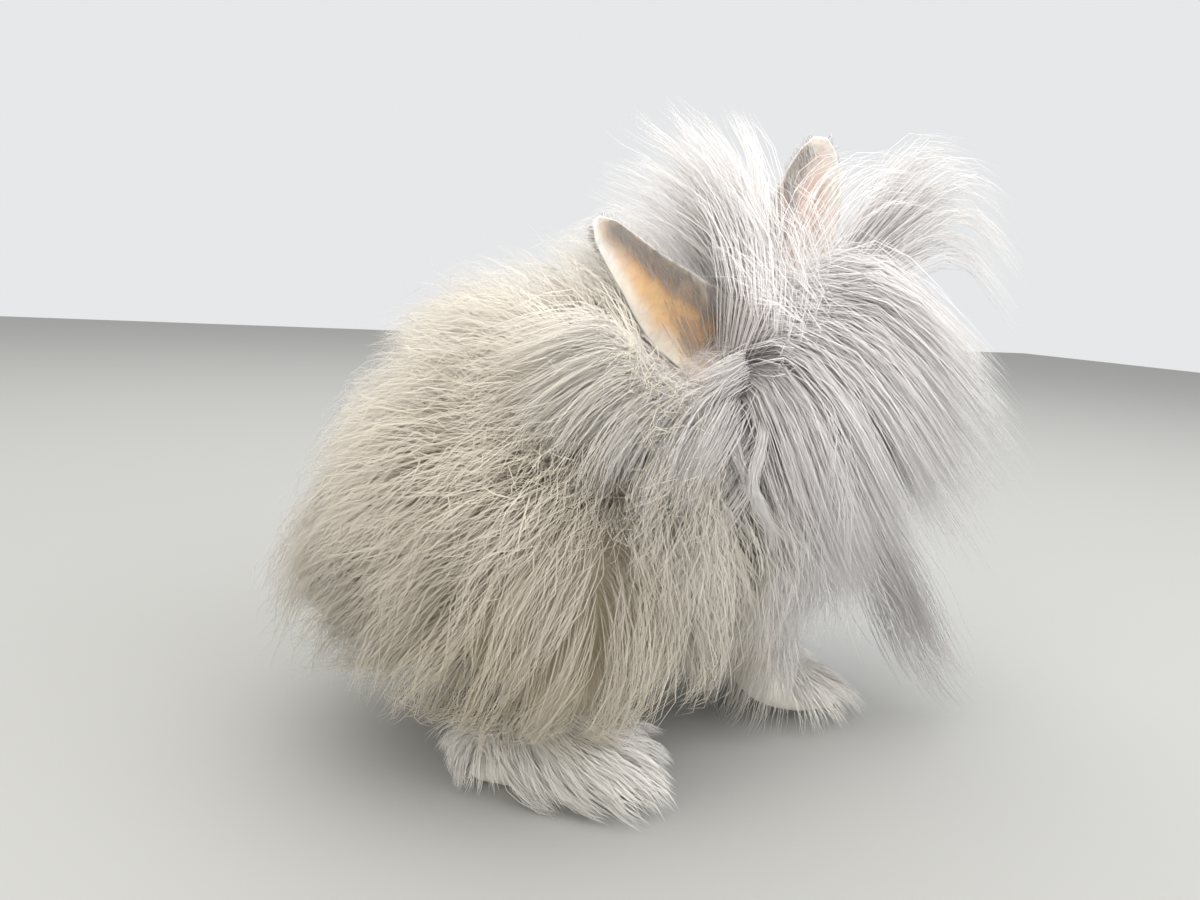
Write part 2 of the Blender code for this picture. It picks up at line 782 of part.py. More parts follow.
def build_trunk():
    """The trunk with sockets for the hind legs, forelegs, neck and tail."""
    trunk = new_object("torso", *trunk_shape())
    for side in (-1, 1):
        cut(trunk, thigh_shape(side), GAP)
        cut(trunk, shank_shape(side), GAP)
        cut(trunk, hind_foot_shape(side), GAP)
        cut(trunk, foreleg_shape(side), GAP)
    cut(trunk, neck_shape(), GAP)
    cut(trunk, skull_shape(), FACE_CLEARANCE)
    cut(trunk, tail_shape(), GAP)
    for side, tip, opening in ((-1, NEAR_EAR_TIP, NEAR_EAR_OPENING), (1, FAR_EAR_TIP, FAR_EAR_OPENING)):
        cut(trunk, ear_mesh(side, tip, opening), GAP)
    keep_largest(trunk)
    return trunk


def build_neck():
    """The neck with a socket for the skull."""
    neck = new_object("neck", *neck_shape())
    cut(neck, skull_shape(), GAP)
    for side in (-1, 1):
        cut(neck, ball_mesh(eye_centre(side), (EYE_RADIUS + FACE_CLEARANCE,) * 3, head_matrix()))
    for side, tip, opening in ((-1, NEAR_EAR_TIP, NEAR_EAR_OPENING), (1, FAR_EAR_TIP, FAR_EAR_OPENING)):
        cut(neck, ear_mesh(side, tip, opening), GAP)
    keep_largest(neck)
    return neck


def build_hind_leg(side):
    """A hind leg: haunch, shank, foot and claws, flat underneath."""
    leg = new_object("hind_leg", *hind_foot_shape(side))
    pieces = [new_object("shank", *shank_shape(side)), new_object("thigh", *thigh_shape(side))]
    ahead = Vector((math.cos(HIND_FOOT_SPLAY), side * math.sin(HIND_FOOT_SPLAY), 0.0))
    fuse(leg, pieces + claws(hind_toes(side), ahead, 0.0075, 0.010))
    cut(leg, floor_cutter())
    return leg


def build_foreleg(side):
    """A foreleg with claws, flat under the paw."""
    leg = new_object("foreleg", *foreleg_shape(side))
    fuse(leg, claws(foreleg_path(side)[-1], Vector((1.0, 0.0, 0.0)), 0.0055, 0.009))
    cut(leg, floor_cutter())
    return leg


def lock(rise, run, width, chance, curl=0.0, drop=0.0, sweep=0.012, kind=BODY_LOCK):
    """The sizes of one lock, varied a little from lock to lock."""
    length = chance.uniform(0.84, 1.16)
    return {
        "rise": rise * chance.uniform(0.84, 1.14),
        "run": run * length,
        "curl": curl * length,
        "drop": drop * chance.uniform(0.5, 1.4),
        "sweep": chance.uniform(-sweep, sweep),
        "width": width * chance.uniform(0.88, 1.12),
        **kind,
    }


def trunk_lock(root, normal, chance):
    """Body wool: it lies backwards over the back and hangs down the flanks and the rump."""
    high, low = max(0.0, normal.z), max(0.0, -normal.z)
    wool = (SIDE_WOOL + (BACK_WOOL - SIDE_WOOL) * high) * (1 - CORE_SHARE)
    rear = max(0.0, -normal.x)
    along = tangent(Vector((-0.75 + 0.35 * low, 0.10 * normal.y, -0.62)), normal)
    rise = wool * (0.95 - 0.55 * low - 0.25 * rear)
    return lock(rise, 0.074, 0.049, chance, curl=0.006 + 0.008 * rear, sweep=0.016), along


def hind_leg_lock(root, normal, chance):
    """Haunch wool that hangs over the hock, and long hair that fans over the foot to the floor."""
    side = 1 if root.y > 0 else -1
    if root.z > 0.045:
        along = tangent(Vector((-0.5, 0.15 * normal.y, -0.85)), normal)
        return lock(0.026, 0.062, 0.044, chance, curl=0.006), along
    along = tangent(Vector((0.55 + 8 * (root.x + 0.01), side * 0.35, -0.55)), normal)
    return lock(0.013, 0.032, 0.020, chance, drop=0.010, sweep=0.006, kind=FOOT_LOCK), along


def foreleg_lock(root, normal, chance):
    """Hair that falls off the forearm and forward over the paw."""
    paw = max(0.0, min(1.0, (root.x - 0.105) / 0.05))
    along = tangent(Vector((-0.35 + 1.3 * paw, 0.2 * normal.y, -0.75)), normal)
    rise = 0.016 - 0.005 * paw
    return lock(rise, 0.032, 0.020, chance, drop=0.006, sweep=0.005, kind=FOOT_LOCK), along


def neck_lock(root, normal, chance):
    """The ruff: swept back off the head over the shoulders, and down in front of the chest."""
    front, high = max(0.0, normal.x), max(0.0, normal.z)
    if high > 0.35 and root.z > NAPE_Z:
        along = tangent(Vector((-0.45, 0.2 * normal.y, 0.60)), normal)
        return lock(0.066, 0.054, 0.034, chance, sweep=0.022, kind=NAPE_LOCK), along
    along = tangent(Vector((-0.85 + 1.0 * front, 0.15 * normal.y, -0.45 - 0.5 * front)), normal)
    return lock(0.034 + 0.012 * high, 0.070, 0.042, chance, curl=0.004, drop=0.008, sweep=0.016), along


def tail_lock(root, normal, chance):
    """The tail's brush, turned up and spread over the rump."""
    along = tangent(Vector((-0.30, 0.3 * normal.y, 0.40)), normal)
    return lock(0.020, 0.034, 0.032, chance, curl=0.004), along


def head_lock(root, normal, chance):
    """Forelock, nape tufts, cheeks and beard, by where on the head the lock grows."""
    local = root - CROWN
    ahead = local.dot(FACE)
    spread = local.dot(LEFT) / HEAD_HALF_WIDTH
    high = normal.dot(TOP)
    if ahead < 0.006 and (high > -0.1 or spread > 0.2):
        along = tangent(Vector((-0.25 + 0.25 * spread, -0.05, 0.95)), normal)
        return lock(0.044, 0.088, 0.028, chance, sweep=0.022, kind=HEAD_LOCK), along
    if high > 0.0 or spread > 0.35:
        along = tangent(FACE * 0.75 + LEFT * (0.1 + spread * 1.25) + Vector((0.10, 0.0, 0.12)), normal)
        sizes = lock(0.036, 0.104, 0.036, chance, curl=0.004, drop=0.010, sweep=0.016, kind=HEAD_LOCK)
        return sizes, along
    if spread < -0.2:
        along = tangent(DOWN * 0.70 + FACE * 0.60, normal)
        sizes = lock(0.024, 0.086, 0.036, chance, curl=0.004, drop=0.016, sweep=0.012, kind=HEAD_LOCK)
        return sizes, along
    along = tangent(DOWN * 0.45 + FACE * 0.6 + Vector((0.50, -0.25, 0.0)), normal)
    return lock(0.024, 0.115, 0.032, chance, drop=0.038, sweep=0.014, kind=HEAD_LOCK), along


# Long locks of the head: near its root, two points that it passes, its tip, and its width.
CROWN_LOCKS = (
    # arcs from the crown over the far side of the head
    ((0.150, -0.016, 0.213), (0.170, -0.048, 0.262), (0.208, -0.038, 0.298), (0.250, -0.018, 0.304), 0.034),
    ((0.150, -0.016, 0.213), (0.172, -0.053, 0.248), (0.214, -0.050, 0.272), (0.258, -0.030, 0.254), 0.036),
    ((0.146, -0.018, 0.213), (0.164, -0.062, 0.238), (0.206, -0.064, 0.246), (0.256, -0.048, 0.218), 0.036),
    # the dome of the forelock
    ((0.115, -0.030, 0.258), (0.146, -0.064, 0.252), (0.208, -0.066, 0.218), (0.258, -0.056, 0.164), 0.040),
    ((0.138, -0.022, 0.208), (0.150, -0.074, 0.222), (0.186, -0.078, 0.184), (0.228, -0.066, 0.128), 0.040),
    ((0.138, -0.022, 0.208), (0.140, -0.072, 0.205), (0.160, -0.082, 0.165), (0.186, -0.074, 0.106), 0.036),
    # tufts that stand up from the nape
    ((0.110, -0.012, 0.250), (0.077, -0.030, 0.284), (0.050, -0.030, 0.311), (0.027, -0.025, 0.326), 0.030),
    ((0.114, -0.010, 0.253), (0.095, -0.025, 0.291), (0.081, -0.025, 0.318), (0.065, -0.020, 0.334), 0.030),
    ((0.112, 0.004, 0.240), (0.072, -0.012, 0.276), (0.040, -0.018, 0.300), (0.010, -0.020, 0.306), 0.032),
    # the tip of the beard
    ((0.178, -0.040, 0.125), (0.193, -0.058, 0.090), (0.220, -0.060, 0.056), (0.262, -0.052, 0.022), 0.030),
)


def head_hair_grows(point, normal):
    """True where the head carries long hair: all but the muzzle and the rings of the eyes."""
    near_eye = min((point - eye_centre(side)).length for side in (-1, 1))
    ahead = (point - CROWN).dot(FACE)
    return near_eye > EYE_RADIUS + 0.006 and ahead < 0.060


def body_hair_grows(point, normal):
    """True on all but the underside of the body."""
    return normal.z > -0.72


def leg_hair_grows(point, normal):
    """True on the outer side of a leg, clear of the floor."""
    side = 1 if point.y > 0 else -1
    return point.z > 0.010 and normal.z > -0.80 and normal.y * side > -0.35


# How many locks each part is to carry where they have room, in the order in which they take it.
LOCKS = (
    ("hind_leg_right", 14, hind_leg_lock, leg_hair_grows),
    ("hind_leg_left", 14, hind_leg_lock, leg_hair_grows),
    ("foreleg_right", 6, foreleg_lock, leg_hair_grows),
    ("foreleg_left", 6, foreleg_lock, leg_hair_grows),
    ("head", 26, head_lock, head_hair_grows),
    ("neck", 20, neck_lock, body_hair_grows),
    ("tail", 5, tail_lock, body_hair_grows),
    ("torso", 59, trunk_lock, body_hair_grows),
)


def finish_part(part):
    """Fuses a part's locks to its core and gives it its finish."""
    pieces = [new_object("lock", *lock_mesh(*sizes)) for sizes in part.locks]
    fuse(part.core, pieces)
    part.core.data.materials.clear()
    part.core.data.materials.append(material(*part.finish))


def stand_over_origin(objects):
    """Hangs every part from one empty that puts the middle of the rabbit's floor plan at the origin."""
    corners = [v.co for obj in objects for v in obj.data.vertices]
    frame = bpy.data.objects.new("frame_origin", None)
    bpy.context.scene.collection.objects.link(frame)
    for obj in objects:
        obj.parent = frame
    middle_x = (min(c.x for c in corners) + max(c.x for c in corners)) / 2
    middle_y = (min(c.y for c in corners) + max(c.y for c in corners)) / 2
    frame.location = (-middle_x, -middle_y, 0.0)
    bpy.context.view_layer.update()


def build():
    """Builds every part, grows the wool, and stands the rabbit over the origin."""
    clear_scene()
    chance = random.Random(SEED)
    cores = {
        "torso": (build_trunk(), WOOL),
        "neck": (build_neck(), FACE_WOOL),
        "head": (build_head(), FACE_WOOL),
        "tail": (new_object("tail", *tail_shape()), WOOL),
    }
    ears = (("right", -1, NEAR_EAR_TIP, NEAR_EAR_OPENING), ("left", 1, FAR_EAR_TIP, FAR_EAR_OPENING))
    for word, side, tip, opening in ears:
        eye = ball_mesh(eye_centre(side), (EYE_RADIUS,) * 3, head_matrix(), 8, 14)
        cores["ear_" + word] = (new_object("ear", *ear_mesh(side, tip, opening)), EAR_SKIN)
        cores["eye_" + word] = (new_object("eye", *eye), EYE_GLASS)
        cores["hind_leg_" + word] = (build_hind_leg(side), LEG_WOOL)
        cores["foreleg_" + word] = (build_foreleg(side), FOOT_WOOL)
    parts = {name: Part(name, core, finish) for name, (core, finish) in cores.items()}
    for name, count, shape, wanted in LOCKS:
        others = [other for other in parts.values() if other.name != name]
        if name == "head":
            for *points, width in CROWN_LOCKS:
                lay_lock(parts[name], others, [Vector(point) for point in points], width)
        grow_locks(parts[name], others, count, shape, wanted, chance)
    for part in parts.values():
        finish_part(part)
        triangles = sum(len(polygon.vertices) - 2 for polygon in part.core.data.polygons)
        print(part.name, len(part.locks), "locks", triangles, "triangles")
    stand_over_origin([part.core for part in parts.values()])


build()
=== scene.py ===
import math

import bmesh
import bpy
import numpy as np
from mathutils import Matrix, Vector
from mathutils.bvhtree import BVHTree


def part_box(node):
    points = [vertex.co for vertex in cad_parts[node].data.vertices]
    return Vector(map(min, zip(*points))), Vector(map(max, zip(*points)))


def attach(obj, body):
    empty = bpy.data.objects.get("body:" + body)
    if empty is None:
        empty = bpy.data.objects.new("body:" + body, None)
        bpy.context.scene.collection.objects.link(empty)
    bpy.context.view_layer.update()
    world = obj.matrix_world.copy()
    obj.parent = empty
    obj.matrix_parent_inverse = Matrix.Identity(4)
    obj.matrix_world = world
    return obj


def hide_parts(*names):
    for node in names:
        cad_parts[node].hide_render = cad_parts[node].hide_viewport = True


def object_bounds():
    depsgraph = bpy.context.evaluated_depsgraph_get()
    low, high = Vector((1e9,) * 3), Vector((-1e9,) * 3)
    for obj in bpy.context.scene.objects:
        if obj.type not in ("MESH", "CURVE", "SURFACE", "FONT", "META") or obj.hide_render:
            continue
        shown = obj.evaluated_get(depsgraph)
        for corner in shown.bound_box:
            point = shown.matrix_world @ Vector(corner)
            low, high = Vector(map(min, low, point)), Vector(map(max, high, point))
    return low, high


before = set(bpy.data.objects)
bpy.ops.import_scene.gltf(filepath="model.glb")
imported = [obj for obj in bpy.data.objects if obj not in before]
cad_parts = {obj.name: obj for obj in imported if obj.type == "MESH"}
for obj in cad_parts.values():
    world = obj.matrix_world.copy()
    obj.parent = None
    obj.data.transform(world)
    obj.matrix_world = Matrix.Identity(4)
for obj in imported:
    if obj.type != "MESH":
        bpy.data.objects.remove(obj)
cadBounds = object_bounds()

# The rabbit is worked out in its own frame, +X the way the body faces, +Y its left, feet at Z = 0,
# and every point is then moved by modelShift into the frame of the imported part.
sides = ("Right", -1), ("Left", 1)


# numbers and small helpers

def vec(*values):
    return np.array(values, float)


def linearColour(hexColour):
    # sRGB hex to linear light
    values = np.array([int(hexColour[k:k + 2], 16) for k in (1, 3, 5)]) / 255
    return np.where(values <= 0.04045, values / 12.92, ((values + 0.055) / 1.055) ** 2.4)


def unit(vectors):
    return vectors / np.maximum(np.linalg.norm(vectors, axis=-1, keepdims=True), 1e-9)


def dot(a, b):
    return np.sum(a * b, axis=-1)


def distance(points, place):
    return np.linalg.norm(points - place, axis=-1)


def smoothStep(low, high, values):
    # 0 below low, 1 above high, with an eased slope between
    share = np.clip((values - low) / (high - low), 0, 1)
    return share * share * (3 - 2 * share)


def mix(a, b, share):
    return a + (b - a) * share


def softNoise(points, size, seed):
    # a smooth field of about -1 to 1: seven sine waves in random directions, about size metres long
    waves = np.random.default_rng(seed)
    directions = unit(waves.normal(size=(7, 3))) * (math.tau / size) * waves.uniform(0.6, 1.5, (7, 1))
    phases = waves.uniform(0, math.tau, 7)
    return np.sin(points @ directions.T + phases).sum(-1) / 4.2


def wander(points, size, seed):
    # a smooth field of vectors, which turns the lie of the coat from place to place
    return np.stack([softNoise(points, size, seed + k) for k in range(3)], -1)


head = {
    "crown": vec(0.125, -0.005, 0.222),  # between the ear roots
    "yaw": math.radians(-18), "pitch": math.radians(43), "roll": math.radians(44),
    "length": 0.112, "halfWidth": 0.028, "occiput": -0.017,
    # share of the length, half width and half height over halfWidth, height under the crown
    "stations": np.array([
        (0.00, 0.30, 0.30, -0.022), (0.06, 0.64, 0.64, -0.023), (0.20, 0.90, 0.92, -0.0235),
        (0.42, 1.00, 0.98, -0.0245), (0.60, 0.86, 0.90, -0.0265), (0.76, 0.66, 0.76, -0.0290),
        (0.90, 0.50, 0.60, -0.0315), (1.00, 0.24, 0.28, -0.0330),
    ]),
    "eyeShare": 0.47, "eyeSide": 0.0205, "eyeTop": 0.0065, "eyeRadius": 0.0092,
}


def headAxes():
    # face direction, left and top of the turned and tilted head
    cosP, sinP = math.cos(head["pitch"]), math.sin(head["pitch"])
    face = vec(cosP * math.cos(head["yaw"]), cosP * math.sin(head["yaw"]), -sinP)
    levelLeft = vec(-math.sin(head["yaw"]), math.cos(head["yaw"]), 0)
    levelTop = np.cross(face, levelLeft)
    left = levelLeft * math.cos(head["roll"]) + levelTop * math.sin(head["roll"])
    return face, left, np.cross(face, left)


faceWay, leftWay, topWay = headAxes()
downWay = vec(0, 0, -1)
levelSide = vec(0, 1, 0)


def onHead(forward, left, top):
    return head["crown"] + faceWay * forward + leftWay * left + topWay * top


def skullPoint(share, left, top):
    drop = np.interp(share, head["stations"][:, 0], head["stations"][:, 3])
    return onHead(head["occiput"] + head["length"] * share, left, drop + top)


def eyeCentre(side):
    return skullPoint(head["eyeShare"], side * head["eyeSide"], head["eyeTop"])


eyeLow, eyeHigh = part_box("eye_right")
modelShift = (np.array(eyeLow) + np.array(eyeHigh)) / 2 - eyeCentre(-1)
print("model shift", modelShift)


# meshes from arrays

def setColours(mesh, colours):
    layer = mesh.color_attributes.new("coatColour", "FLOAT_COLOR", "POINT")
    packed = np.concatenate([colours, np.ones((len(colours), 1))], axis=1)
    layer.data.foreach_set("color", packed.astype(np.float32).ravel())


def setPoints(mesh, points):
    mesh.vertices.foreach_set("co", (points + modelShift).astype(np.float32).ravel())


def meshPiece(name, points, quads, triangles=None, colours=None, uvs=None, normals=None):
    # a mesh object from whole arrays: quads and triangles index the points; uvs go with the corners
    mesh = bpy.data.meshes.new(name)
    triangles = np.zeros((0, 3), int) if triangles is None else triangles
    corners = np.concatenate([quads.ravel(), triangles.ravel()]).astype(np.int32)
    starts = np.concatenate([np.arange(len(quads)) * 4, len(quads) * 4 + np.arange(len(triangles)) * 3])
    mesh.vertices.add(len(points))
    setPoints(mesh, points)
    mesh.loops.add(len(corners))
    mesh.loops.foreach_set("vertex_index", corners)
    mesh.polygons.add(len(starts))
    mesh.polygons.foreach_set("loop_start", starts.astype(np.int32))
    mesh.polygons.foreach_set("use_smooth", np.ones(len(starts), bool))
    if colours is not None:
        setColours(mesh, colours)
    if uvs is not None:
        mesh.uv_layers.new(name="OFBake").data.foreach_set("uv", uvs.astype(np.float32).ravel())
    mesh.update(calc_edges=True)
    if normals is not None:
        mesh.normals_split_custom_set_from_vertices(normals.astype(np.float32))
    piece = bpy.data.objects.new(name, mesh)
    bpy.context.scene.collection.objects.link(piece)
    return piece


def gridFaces(rows, columns, ring=False):
    # quads of a grid of points, joined round along its columns and, in a ring, along its rows too
    row, column = np.meshgrid(np.arange(rows if ring else rows - 1), np.arange(columns), indexing="ij")
    after, below = (column + 1) % columns, (row + 1) % rows
    quads = np.stack([row * columns + column, row * columns + after,
                      below * columns + after, below * columns + column], -1)
    return quads.reshape(-1, 4)


def capFaces(rows, columns):
    # triangles from the first and the last row of a grid to the two points that follow the grid's
    around, top = np.arange(columns), rows * columns
    after, last = (around + 1) % columns, top - columns
    return np.vstack([np.stack([np.full(columns, top), after, around], -1),
                      np.stack([np.full(columns, top + 1), last + around, last + after], -1)])


def editMesh(piece, *edits):
    work = bmesh.new()
    work.from_mesh(piece.data)
    for edit in edits:
        edit(work)
    work.to_mesh(piece.data)
    work.free()


def weld(work):
    bmesh.ops.remove_doubles(work, verts=work.verts, dist=1e-6)


def faceOutward(work):
    bmesh.ops.recalc_face_normals(work, faces=work.faces)


def pathPoint(path, t):
    # Catmull-Rom curve through the points of a path, at t from 0 to 1
    path = np.asarray(path, float)
    spans = len(path) - 1
    ends = np.vstack([2 * path[0] - path[1], path, 2 * path[-1] - path[-2]])
    at = np.clip(np.asarray(t) * spans, 0, spans - 1e-9)
    i = at.astype(int)
    u = (at - i)[..., None]
    before, a, b, after = ends[i], ends[i + 1], ends[i + 2], ends[i + 3]
    return 0.5 * (2 * a + (b - before) * u + (2 * before - 5 * a + 4 * b - after) * u**2
                  + (3 * a - before - 3 * b + after) * u**3)


def tube(path, sizes, side=levelSide):
    # sizes: share of the path, half width towards the side, half height
    return {"path": path, "sizes": np.asarray(sizes), "side": side}


def tubeSurface(shape, t, angle):
    # an oval tube: the path's point plus its half width and half height turned by the angle
    path, side, sizes = shape["path"], shape["side"], shape["sizes"]
    ahead = unit(pathPoint(path, np.minimum(t + 0.01, 1)) - pathPoint(path, np.maximum(t - 0.01, 0)))
    across = unit(side - ahead * dot(side, ahead)[..., None])
    wide, high = (np.interp(t, sizes[:, 0], sizes[:, k])[..., None] for k in (1, 2))
    turned = across * wide * np.cos(angle)[..., None]
    return pathPoint(path, t) + turned + np.cross(across, ahead) * high * np.sin(angle)[..., None]


def ovalSurface(shape, t, angle):
    # an ellipsoid: t runs from one pole to the other along its first axis
    polar = np.pi * t
    local = np.stack([-np.cos(polar), np.sin(polar) * np.cos(angle), np.sin(polar) * np.sin(angle)], -1)
    return shape["centre"] + (local * shape["radii"]) @ shape["axes"].T


def surfacePoints(shape, t, angle):
    return (ovalSurface if "radii" in shape else tubeSurface)(shape, t, angle)


def closedSurface(shape, rows, columns):
    # points and faces of a whole body: rings crowded towards its ends, and a point at each end
    t = 0.5 - 0.5 * np.cos(np.pi * (np.arange(rows) + 0.5) / rows)
    angle = math.tau * np.arange(columns) / columns
    rings = surfacePoints(shape, *np.meshgrid(t, angle, indexing="ij")).reshape(-1, 3)
    if "path" in shape:
        ends = pathPoint(shape["path"], vec(0, 1))
    else:
        ends = ovalSurface(shape, vec(0, 1), vec(0, 0))
    return np.vstack([rings, ends]), gridFaces(rows, columns), capFaces(rows, columns)


def joinShapes(shapes, rows=40, columns=48):
    parts, start = ([], [], []), 0
    for shape in shapes:
        points, quads, caps = closedSurface(shape, rows, columns)
        for part, values in zip(parts, (points, quads + start, caps + start)):
            part.append(values)
        start += len(points)
    return [np.vstack(part) for part in parts]


# the body under the wool

trunk = {
    "rumpX": -0.086, "chestX": 0.134, "halfWidth": 0.070, "halfHeight": 0.066, "middleZ": 0.128,
    # share of the path, half width over halfWidth, half height over halfHeight
    "outline": np.array([(0, 0.18, 0.16), (0.06, 0.50, 0.42), (0.18, 0.84, 0.70), (0.35, 1, 0.94),
                         (0.58, 0.97, 1), (0.78, 0.80, 0.86), (0.92, 0.50, 0.60), (1, 0.20, 0.22)]),
    "backWool": 0.084, "sideWool": 0.064,  # from the skin to the tips of the wool
}
foot = {"splay": math.radians(24), "length": 0.090}
thighTilt = math.radians(-35)


def headBall(share, left, top, radii):
    return {"centre": skullPoint(share, left, top), "radii": vec(*radii),
            "axes": np.stack([faceWay, leftWay, topWay], 1)}


def middleShapes():
    rump, z = trunk["rumpX"], trunk["middleZ"]
    return {
        "trunk": tube([(rump, 0, z - 0.030), (rump * 0.45, 0, z - 0.006), (0.032, 0, z + 0.006),
                       (trunk["chestX"], 0, z + 0.004)],
                      trunk["outline"] * vec(1, trunk["halfWidth"], trunk["halfHeight"])),
        "neck": tube([(0.062, 0.002, 0.150), (0.088, 0.006, 0.185), onHead(0.004, 0.0, -0.026)],
                     [(0, 0.026, 0.026), (0.2, 0.044, 0.042), (0.55, 0.037, 0.035), (0.85, 0.027, 0.026),
                      (1, 0.014, 0.013)]),
        "skull": tube([skullPoint(share, 0, 0) for share in np.linspace(0, 1, 5)],
                      head["stations"][:, :3] * vec(1, head["halfWidth"], head["halfWidth"]), leftWay),
        "tail": tube([(-0.078, 0, 0.084), (-0.104, 0, 0.092), (-0.112, 0, 0.122)],
                     [(0, 0.009, 0.009), (0.3, 0.014, 0.012), (0.75, 0.013, 0.011), (1, 0.006, 0.005)]),
        "chin": headBall(0.86, 0, -0.0145, (0.0115, 0.0085, 0.0060)),
        "nose": headBall(0.985, 0, 0.0025, (0.0062, 0.0068, 0.0058)),
        "browMiddle": headBall(0.36, 0, 0.0150, (0.022, 0.014, 0.010)),
    }


def toeDirection(side):
    return vec(math.cos(foot["splay"]), side * math.sin(foot["splay"]), 0)


def heelAndToes(side):
    heel = vec(-0.060, side * 0.046, 0.016)
    toes = heel + toeDirection(side) * foot["length"]
    toes[2] = 0.010
    return heel, toes


def forelegPath(side):
    out = side * 0.026
    return [(0.088, out * 1.3, 0.098), (0.100, out * 1.3, 0.062), (0.122, out, 0.026),
            (0.168, out * 0.9, 0.010)]


def sideShapes(side):
    cosT, sinT = math.cos(thighTilt), math.sin(thighTilt)
    heel, toes = heelAndToes(side)
    return {
        "thigh": {"centre": vec(-0.012, side * 0.062, 0.100), "radii": vec(0.056, 0.026, 0.044),
                  "axes": np.array([[cosT, 0, sinT], [0, 1, 0], [-sinT, 0, cosT]])},
        "foot": tube([heel, mix(heel, toes, 0.35), mix(heel, toes, 0.7), toes],
                     [(0, 0.002, 0.002), (0.03, 0.0075, 0.008), (0.12, 0.0135, 0.015), (0.5, 0.0150, 0.0155),
                      (0.82, 0.0175, 0.0125), (1, 0.010, 0.007)]),
        "shank": tube([(-0.022, side * 0.060, 0.014), (-0.014, side * 0.064, 0.045),
                       (-0.012, side * 0.066, 0.085)],
                      [(0, 0.009, 0.011), (0.3, 0.013, 0.017), (0.8, 0.016, 0.020), (1, 0.008, 0.010)]),
        "foreleg": tube(forelegPath(side),
                        [(0, 0.010, 0.012), (0.15, 0.016, 0.020), (0.5, 0.0135, 0.015),
                         (0.85, 0.0140, 0.0115), (1, 0.0075, 0.0065)]),
        "pad": headBall(0.925, side * 0.0062, -0.0035, (0.0125, 0.0090, 0.0095)),
        "cheek": headBall(0.58, side * 0.0150, -0.0080, (0.020, 0.011, 0.015)),
    }


bodyShapes = middleShapes()
for word, side in sides:
    bodyShapes.update({part + word: shape for part, shape in sideShapes(side).items()})


def lidAxis(side):
    return unit(leftWay * side * 0.93 + topWay * 0.26 + faceWay * 0.26)


# colours, as linear light, worked out from the place of a hair's root

palette = {name: linearColour(value) for name, value in {
    # the three root colours, of body, head and feet, are painted shade deep in the fleece, where the outer
    # fibres shade the roots
    "body": "#E9DDC7", "bodyPaintedShade": "#CFC2AB", "head": "#FEF9F6", "headPaintedShade": "#D6CCC8",
    "foot": "#FFFAF0", "footPaintedShade": "#F6EFE2", "earInside": "#FCD2A2", "nosePink": "#E3C0B0",
    # the dark ear colour is also painted as shade in the mouths of the ears and in the creases and sockets of
    # the face
    "earBack": "#C9C0BB", "earRim": "#FBF7F2", "earBand": "#EEE4DB", "earDark": "#6F5A4E",
    # the low wool colour is painted shade, with a painted yellow cast of reflected light, for the lower body
    "earFar": "#E4CFC2", "lowPaintedShade": "#C0AF87", "parting": "#4B4048",
# the parting colour is painted shade, where the forelock leaves the crown
}.items()}
# centre of a painted shade in the hollow behind the ruff, where the head and ruff shade the shoulder
shadyHollow = vec(0.030, -0.060, 0.160)  # behind the ruff


def coatColour(points, deep):
    # colour of the coat where it leaves the skin: beige body, silver head and ruff, cream feet, with painted
    # shade that darkens it towards the roots by deep, from 0 at the tips to 1 at the skin, darkens and
    # yellows the lower body, and darkens the hollow behind the ruff
    deep = np.asarray(deep)[..., None]
    x, z = points[..., 0], points[..., 2]
    headShare = smoothStep(0.030, 0.100, x + 0.35 * (z - 0.17))[..., None]
    # painted shade: darker and yellower towards the lower body, behind the chest
    lowShadeShare = 0.65 * (smoothStep(0.135, 0.075, z) * smoothStep(0.10, 0.02, x))[..., None]
    feetShare = (1 - smoothStep(0.024, 0.060, z))[..., None]
    tips = mix(mix(palette["body"], palette["head"], headShare), palette["lowPaintedShade"], lowShadeShare)
    # painted shade: the root colours are darker, for the shade deep in the fleece
    roots = mix(mix(palette["bodyPaintedShade"], palette["headPaintedShade"], headShare), palette["lowPaintedShade"], lowShadeShare)
    tips = mix(tips, palette["foot"], feetShare)
    roots = mix(roots, palette["footPaintedShade"], feetShare)
    mottle = 1 + 0.07 * softNoise(points, 0.09, 5)[..., None]
    # painted shade in the hollow behind the ruff
    hollowPaintedShade = 1 - 0.22 * np.exp(-dot(points - shadyHollow, points - shadyHollow) / 0.036**2)[..., None]
    return mix(tips, roots, deep) * mottle * hollowPaintedShade


# materials

def addNode(tree, kind, settings=(), links=()):
    # adds a node, sets its values by socket name or property, and links (input name, output socket)
    node = tree.nodes.new(kind)
    for key, value in dict(settings).items():
        if key in node.inputs:
            node.inputs[key].default_value = value
        else:
            setattr(node, key, value)
    for key, socket in dict(links).items():
        tree.links.new(socket, node.inputs[key])
    return node


def newMaterial(name, surface):
    made = bpy.data.materials.new(name)
    made.use_nodes = True
    shader = made.node_tree.nodes["Principled BSDF"]
    for key, value in surface.items():
        shader.inputs[key].default_value = value
    return made, made.node_tree, shader


